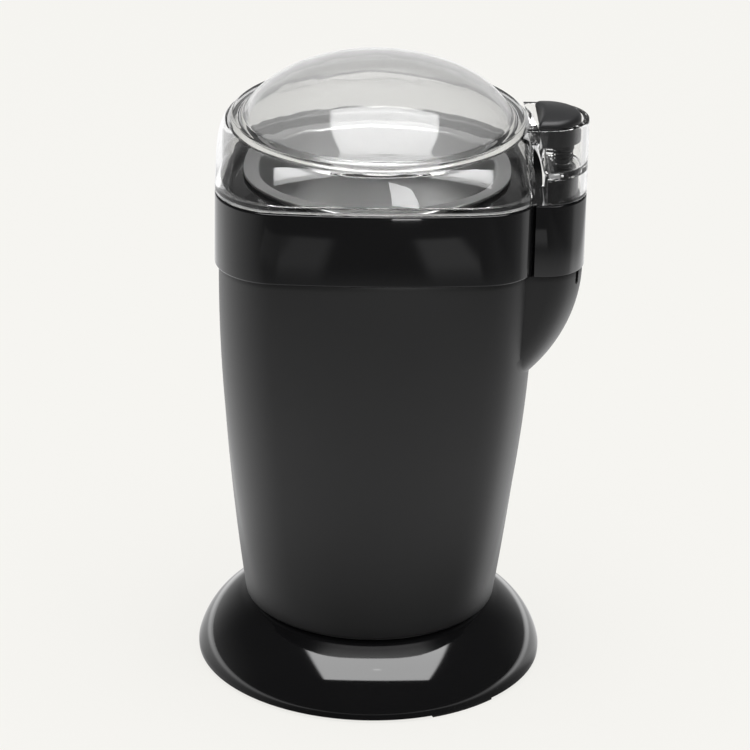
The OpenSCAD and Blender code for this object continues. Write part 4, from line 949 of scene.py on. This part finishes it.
# %% Draw the room and the softbox
ROOM, SOFTBOX = 0.07, 8.6  # brightness of the dark room and of the softbox
WALL_LIGHT = ((-180, 0.95), (-150, 0.8), (-139, 0.52), (-128, 0.3), (-105, 0.2), (-85, 0.05),
              (-75, 0), (105, 0), (140, 0.25), (160, 0.8), (180, 0.95))
world = bpy.data.worlds.new("studio")
scene = bpy.context.scene
scene.world = world
world.use_nodes = True
tree = world.node_tree
tree.nodes.clear()
x, y, z = split(tree, new_node(tree, "TexCoord").outputs["Generated"])
above = math_node(tree, "MAXIMUM", z, 0.05)
side, depth = math_node(tree, "DIVIDE", x, above), math_node(tree, "DIVIDE", y, above)
# a dark room, with a pale wall at the left and behind that fades upwards
wall = product(tree, round_about(tree, x, y, WALL_LIGHT), step_node(tree, z, -0.15, 0.62, 1, 0))
room = math_node(tree, "ADD", wall, ROOM)
# the softbox narrows towards the back, as a rectangle that leans away does
left = math_node(tree, "SUBTRACT", side, product(tree, depth, 0.2))
right = math_node(tree, "ADD", side, product(tree, depth, 0.3))
box = product(tree, step_node(tree, left, -0.47, -0.42), step_node(tree, right, 0.6, 0.65, 1, 0),
              step_node(tree, depth, -0.77, -0.745), step_node(tree, depth, 0.44, 0.48, 1, 0))
mirrored = math_node(tree, "ADD", room, product(tree, box, SOFTBOX))
print("a room of", len(tree.nodes), "nodes")

# %% Light the scene by the world
EVEN = 0.75  # brightness for rays that are neither mirrored nor seen
PALE = (0.905, 0.896, 0.863, 1)
path = new_node(tree, "LightPath")
even = new_node(tree, "Background", Strength=EVEN)
seen = new_node(tree, "Background", Color=PALE)
gloss = new_node(tree, "Background")
tree.links.new(mirrored, gloss.inputs["Strength"])
lit = mixed(tree, path.outputs["Is Glossy Ray"], even.outputs[0], gloss.outputs[0])
shown = mixed(tree, straight_look(tree, path), lit, seen.outputs[0])
tree.links.new(shown, new_node(tree, "OutputWorld").inputs["Surface"])
print("the world has", len(tree.nodes), "nodes")

# %% [markdown]
# ## The floor
# The grinder stands on a wide pale sheet. Looked at directly, it is pale with a soft shade at the
# foot. In the gloss it has to show what a studio floor shows: pale behind and at the sides, dark in
# front but for soft patches of light, and the object's own shade close by. One disc does both: its
# finish tells mirrored rays from direct ones too.

# %% Lay the floor
FLOOR_LIGHT = ((-180, 0.95), (-153, 1.14), (-115, 1.39), (-92, 1.14), (-73, 0.81), (-56, 0.55),
               (-41, 0.33), (-28, 0.14), (-14, 0.08), (10, 0.09), (33, 0.16), (48, 0.2),
               (64, 0.31), (77, 0.57), (84, 1.2), (90, 1.5), (115, 1.4), (150, 1.1), (180, 0.95))


def of_vector(tree, how, vector, result):
    """A vector's length or direction."""
    node = new_node(tree, "VectorMath")
    node.operation = how
    tree.links.new(vector, node.inputs[0])
    return node.outputs[result]


bpy.ops.mesh.primitive_circle_add(vertices=96, radius=5, fill_type="NGON")
floor = bpy.context.object
floor.name = "floor"
pale = bpy.data.materials.new("pale_floor")
pale.use_nodes = True
tree = pale.node_tree
tree.nodes.clear()
spot = new_node(tree, "TexCoord").outputs["Object"]
place, away = split(tree, spot), of_vector(tree, "LENGTH", spot, "Value")
way = split(tree, of_vector(tree, "NORMALIZE", spot, "Vector"))
around = round_about(tree, way["X"], way["Y"], FLOOR_LIGHT)
print("the floor is", round(floor.dimensions.x), "m wide")

# %% Draw what the gloss mirrors of the floor
PATCHES = ((-0.25, -0.095, 0.12), (-0.095, -0.046, 0.3), (0.055, 0.111, 0.4))  # from, to, light
SOFT = 0.008  # half the width of a patch's soft edge
near = product(tree, step_node(tree, place["Y"], -0.506, -0.492),
               step_node(tree, place["Y"], -0.39, -0.3, 1, 0))
patches = 0
for low, high, bright in PATCHES:
    band = product(tree, step_node(tree, place["X"], low - SOFT, low + SOFT),
                   step_node(tree, place["X"], high - SOFT, high + SOFT, 1, 0))
    patches = math_node(tree, "ADD", patches, product(tree, band, bright))
# a pool of light round the object, which is weaker behind
pool = product(tree, step_node(tree, away, 0.07, 0.15), step_node(tree, away, 0.16, 0.38, 0.55, 0),
               step_node(tree, way["Y"], -0.2, 0.7, 1.05, 0.7))
# close to the foot the floor lies in the object's own shade, and to the far right it is dim
shade = step_node(tree, away, 0.085, 0.115, 0.6, 1)
dim = step_node(tree, place["X"], 0.24, 0.36, 1, 0.6)
patches = math_node(tree, "ADD", product(tree, patches, near), pool)
mirrored = math_node(tree, "ADD", product(tree, around, shade, dim), patches)
print(len(PATCHES), "patches of light on the floor")

# %% Dress the floor
GLOW = 0.8  # the share of the floor's look that is its own light; the rest takes shadows
lit = new_node(tree, "BsdfDiffuse", Color=(0.8, 0.79, 0.765, 1))
glow = new_node(tree, "Emission", Color=(0.985, 0.976, 0.94, 1))
sheen = new_node(tree, "Emission")
tree.links.new(mirrored, sheen.inputs["Strength"])
path = new_node(tree, "LightPath")
shown = mixed(tree, product(tree, straight_look(tree, path), GLOW), lit.outputs[0], glow.outputs[0])
was_mirrored = product(tree, math_node(tree, "GREATER_THAN", path.outputs["Glossy Depth"], 0.5),
                       path.outputs["Is Glossy Ray"])
surface = mixed(tree, was_mirrored, shown, sheen.outputs[0])
tree.links.new(surface, new_node(tree, "OutputMaterial").inputs["Surface"])
floor.data.materials.append(pale)
print("the floor's finish has", len(tree.nodes), "nodes")

# %% [markdown]
# ## The lamp
# One wide area lamp hangs overhead where the softbox is. It gives the soft shade under the rim and
# the light on matte faces. Gloss doesn't mirror it, as gloss has the world's softbox to show.

# %% Hang the lamp
lamp = bpy.data.lights.new("overhead", "AREA")
lamp.shape = "RECTANGLE"
lamp.size, lamp.size_y = 1.6, 1.4
lamp.energy = 14
overhead = bpy.data.objects.new("overhead", lamp)
overhead.location = (0.1, -0.35, 2.0)
overhead.rotation_euler = (math.radians(-10), 0, 0)
overhead.visible_glossy = False
scene.collection.objects.link(overhead)
print("the lamp gives", lamp.energy, "W")

# %% [markdown]
# ## The window card
# A small bright card hangs close in front, where only mirrored rays find it. It draws a window on
# the lid's side, and it neither lights nor shades anything.

# %% Hang the window card
CARD_LIGHT = 11
bpy.ops.mesh.primitive_plane_add(size=1, location=(0.0121, -0.1, 0.1595),
                                 rotation=(math.radians(90), 0, 0))
window = bpy.context.object
window.name = "window_card"
window.scale = (0.0115, 0.013, 1)
bpy.ops.object.transform_apply(location=True, rotation=True, scale=True)
bright = bpy.data.materials.new("window_light")
bright.use_nodes = True
tree = bright.node_tree
tree.nodes.clear()
beam = new_node(tree, "Emission", Strength=CARD_LIGHT)
tree.links.new(beam.outputs["Emission"], new_node(tree, "OutputMaterial").inputs["Surface"])
window.data.materials.append(bright)
window.visible_camera = window.visible_diffuse = False
window.visible_transmission = window.visible_shadow = False
print("the card is", [round(v / MM, 1) for v in window.dimensions], "mm")

# %% [markdown]
# ## The camera
# The camera stands 1.4 m away, a little to the left of the front, looks 23.8 degrees down and is
# rolled by a degree. The ellipses of the foot, the neck and the ring were fitted for this. The lens
# is given in pixels of a picture 750 pixels wide.

# %% Set up the camera
AZ, EL, ROLL = map(math.radians, (-1.5, 23.8, 1.08))
FOCAL_PX, PICTURE_PX, DISTANCE = 4405.6, 750, 1.4
TARGET = (0.53, 0, 95.6)
forward = Vector((-math.sin(AZ) * math.cos(EL), math.cos(AZ) * math.cos(EL), -math.sin(EL)))
right = Vector((math.cos(AZ), math.sin(AZ), 0))
up = right.cross(forward)
across = right * math.cos(ROLL) + up * math.sin(ROLL)
up = up * math.cos(ROLL) - right * math.sin(ROLL)
view = bpy.data.cameras.new("camera")
view.sensor_width = 36
view.lens = FOCAL_PX / PICTURE_PX * view.sensor_width
view.clip_end = 20
camera = bpy.data.objects.new("camera", view)
camera.matrix_world = Matrix((across, up, -forward)).transposed().to_4x4()
camera.location = Vector(TARGET) * MM - forward * DISTANCE
scene.collection.objects.link(camera)
scene.camera = camera
print("the lens is", round(view.lens, 1), "mm long")

# %% [markdown]
# ## Colour
# The plain display transform keeps the values of the pale floor and the black plastic.

# %% Set the colours and finish
scene.view_settings.view_transform = "Standard"
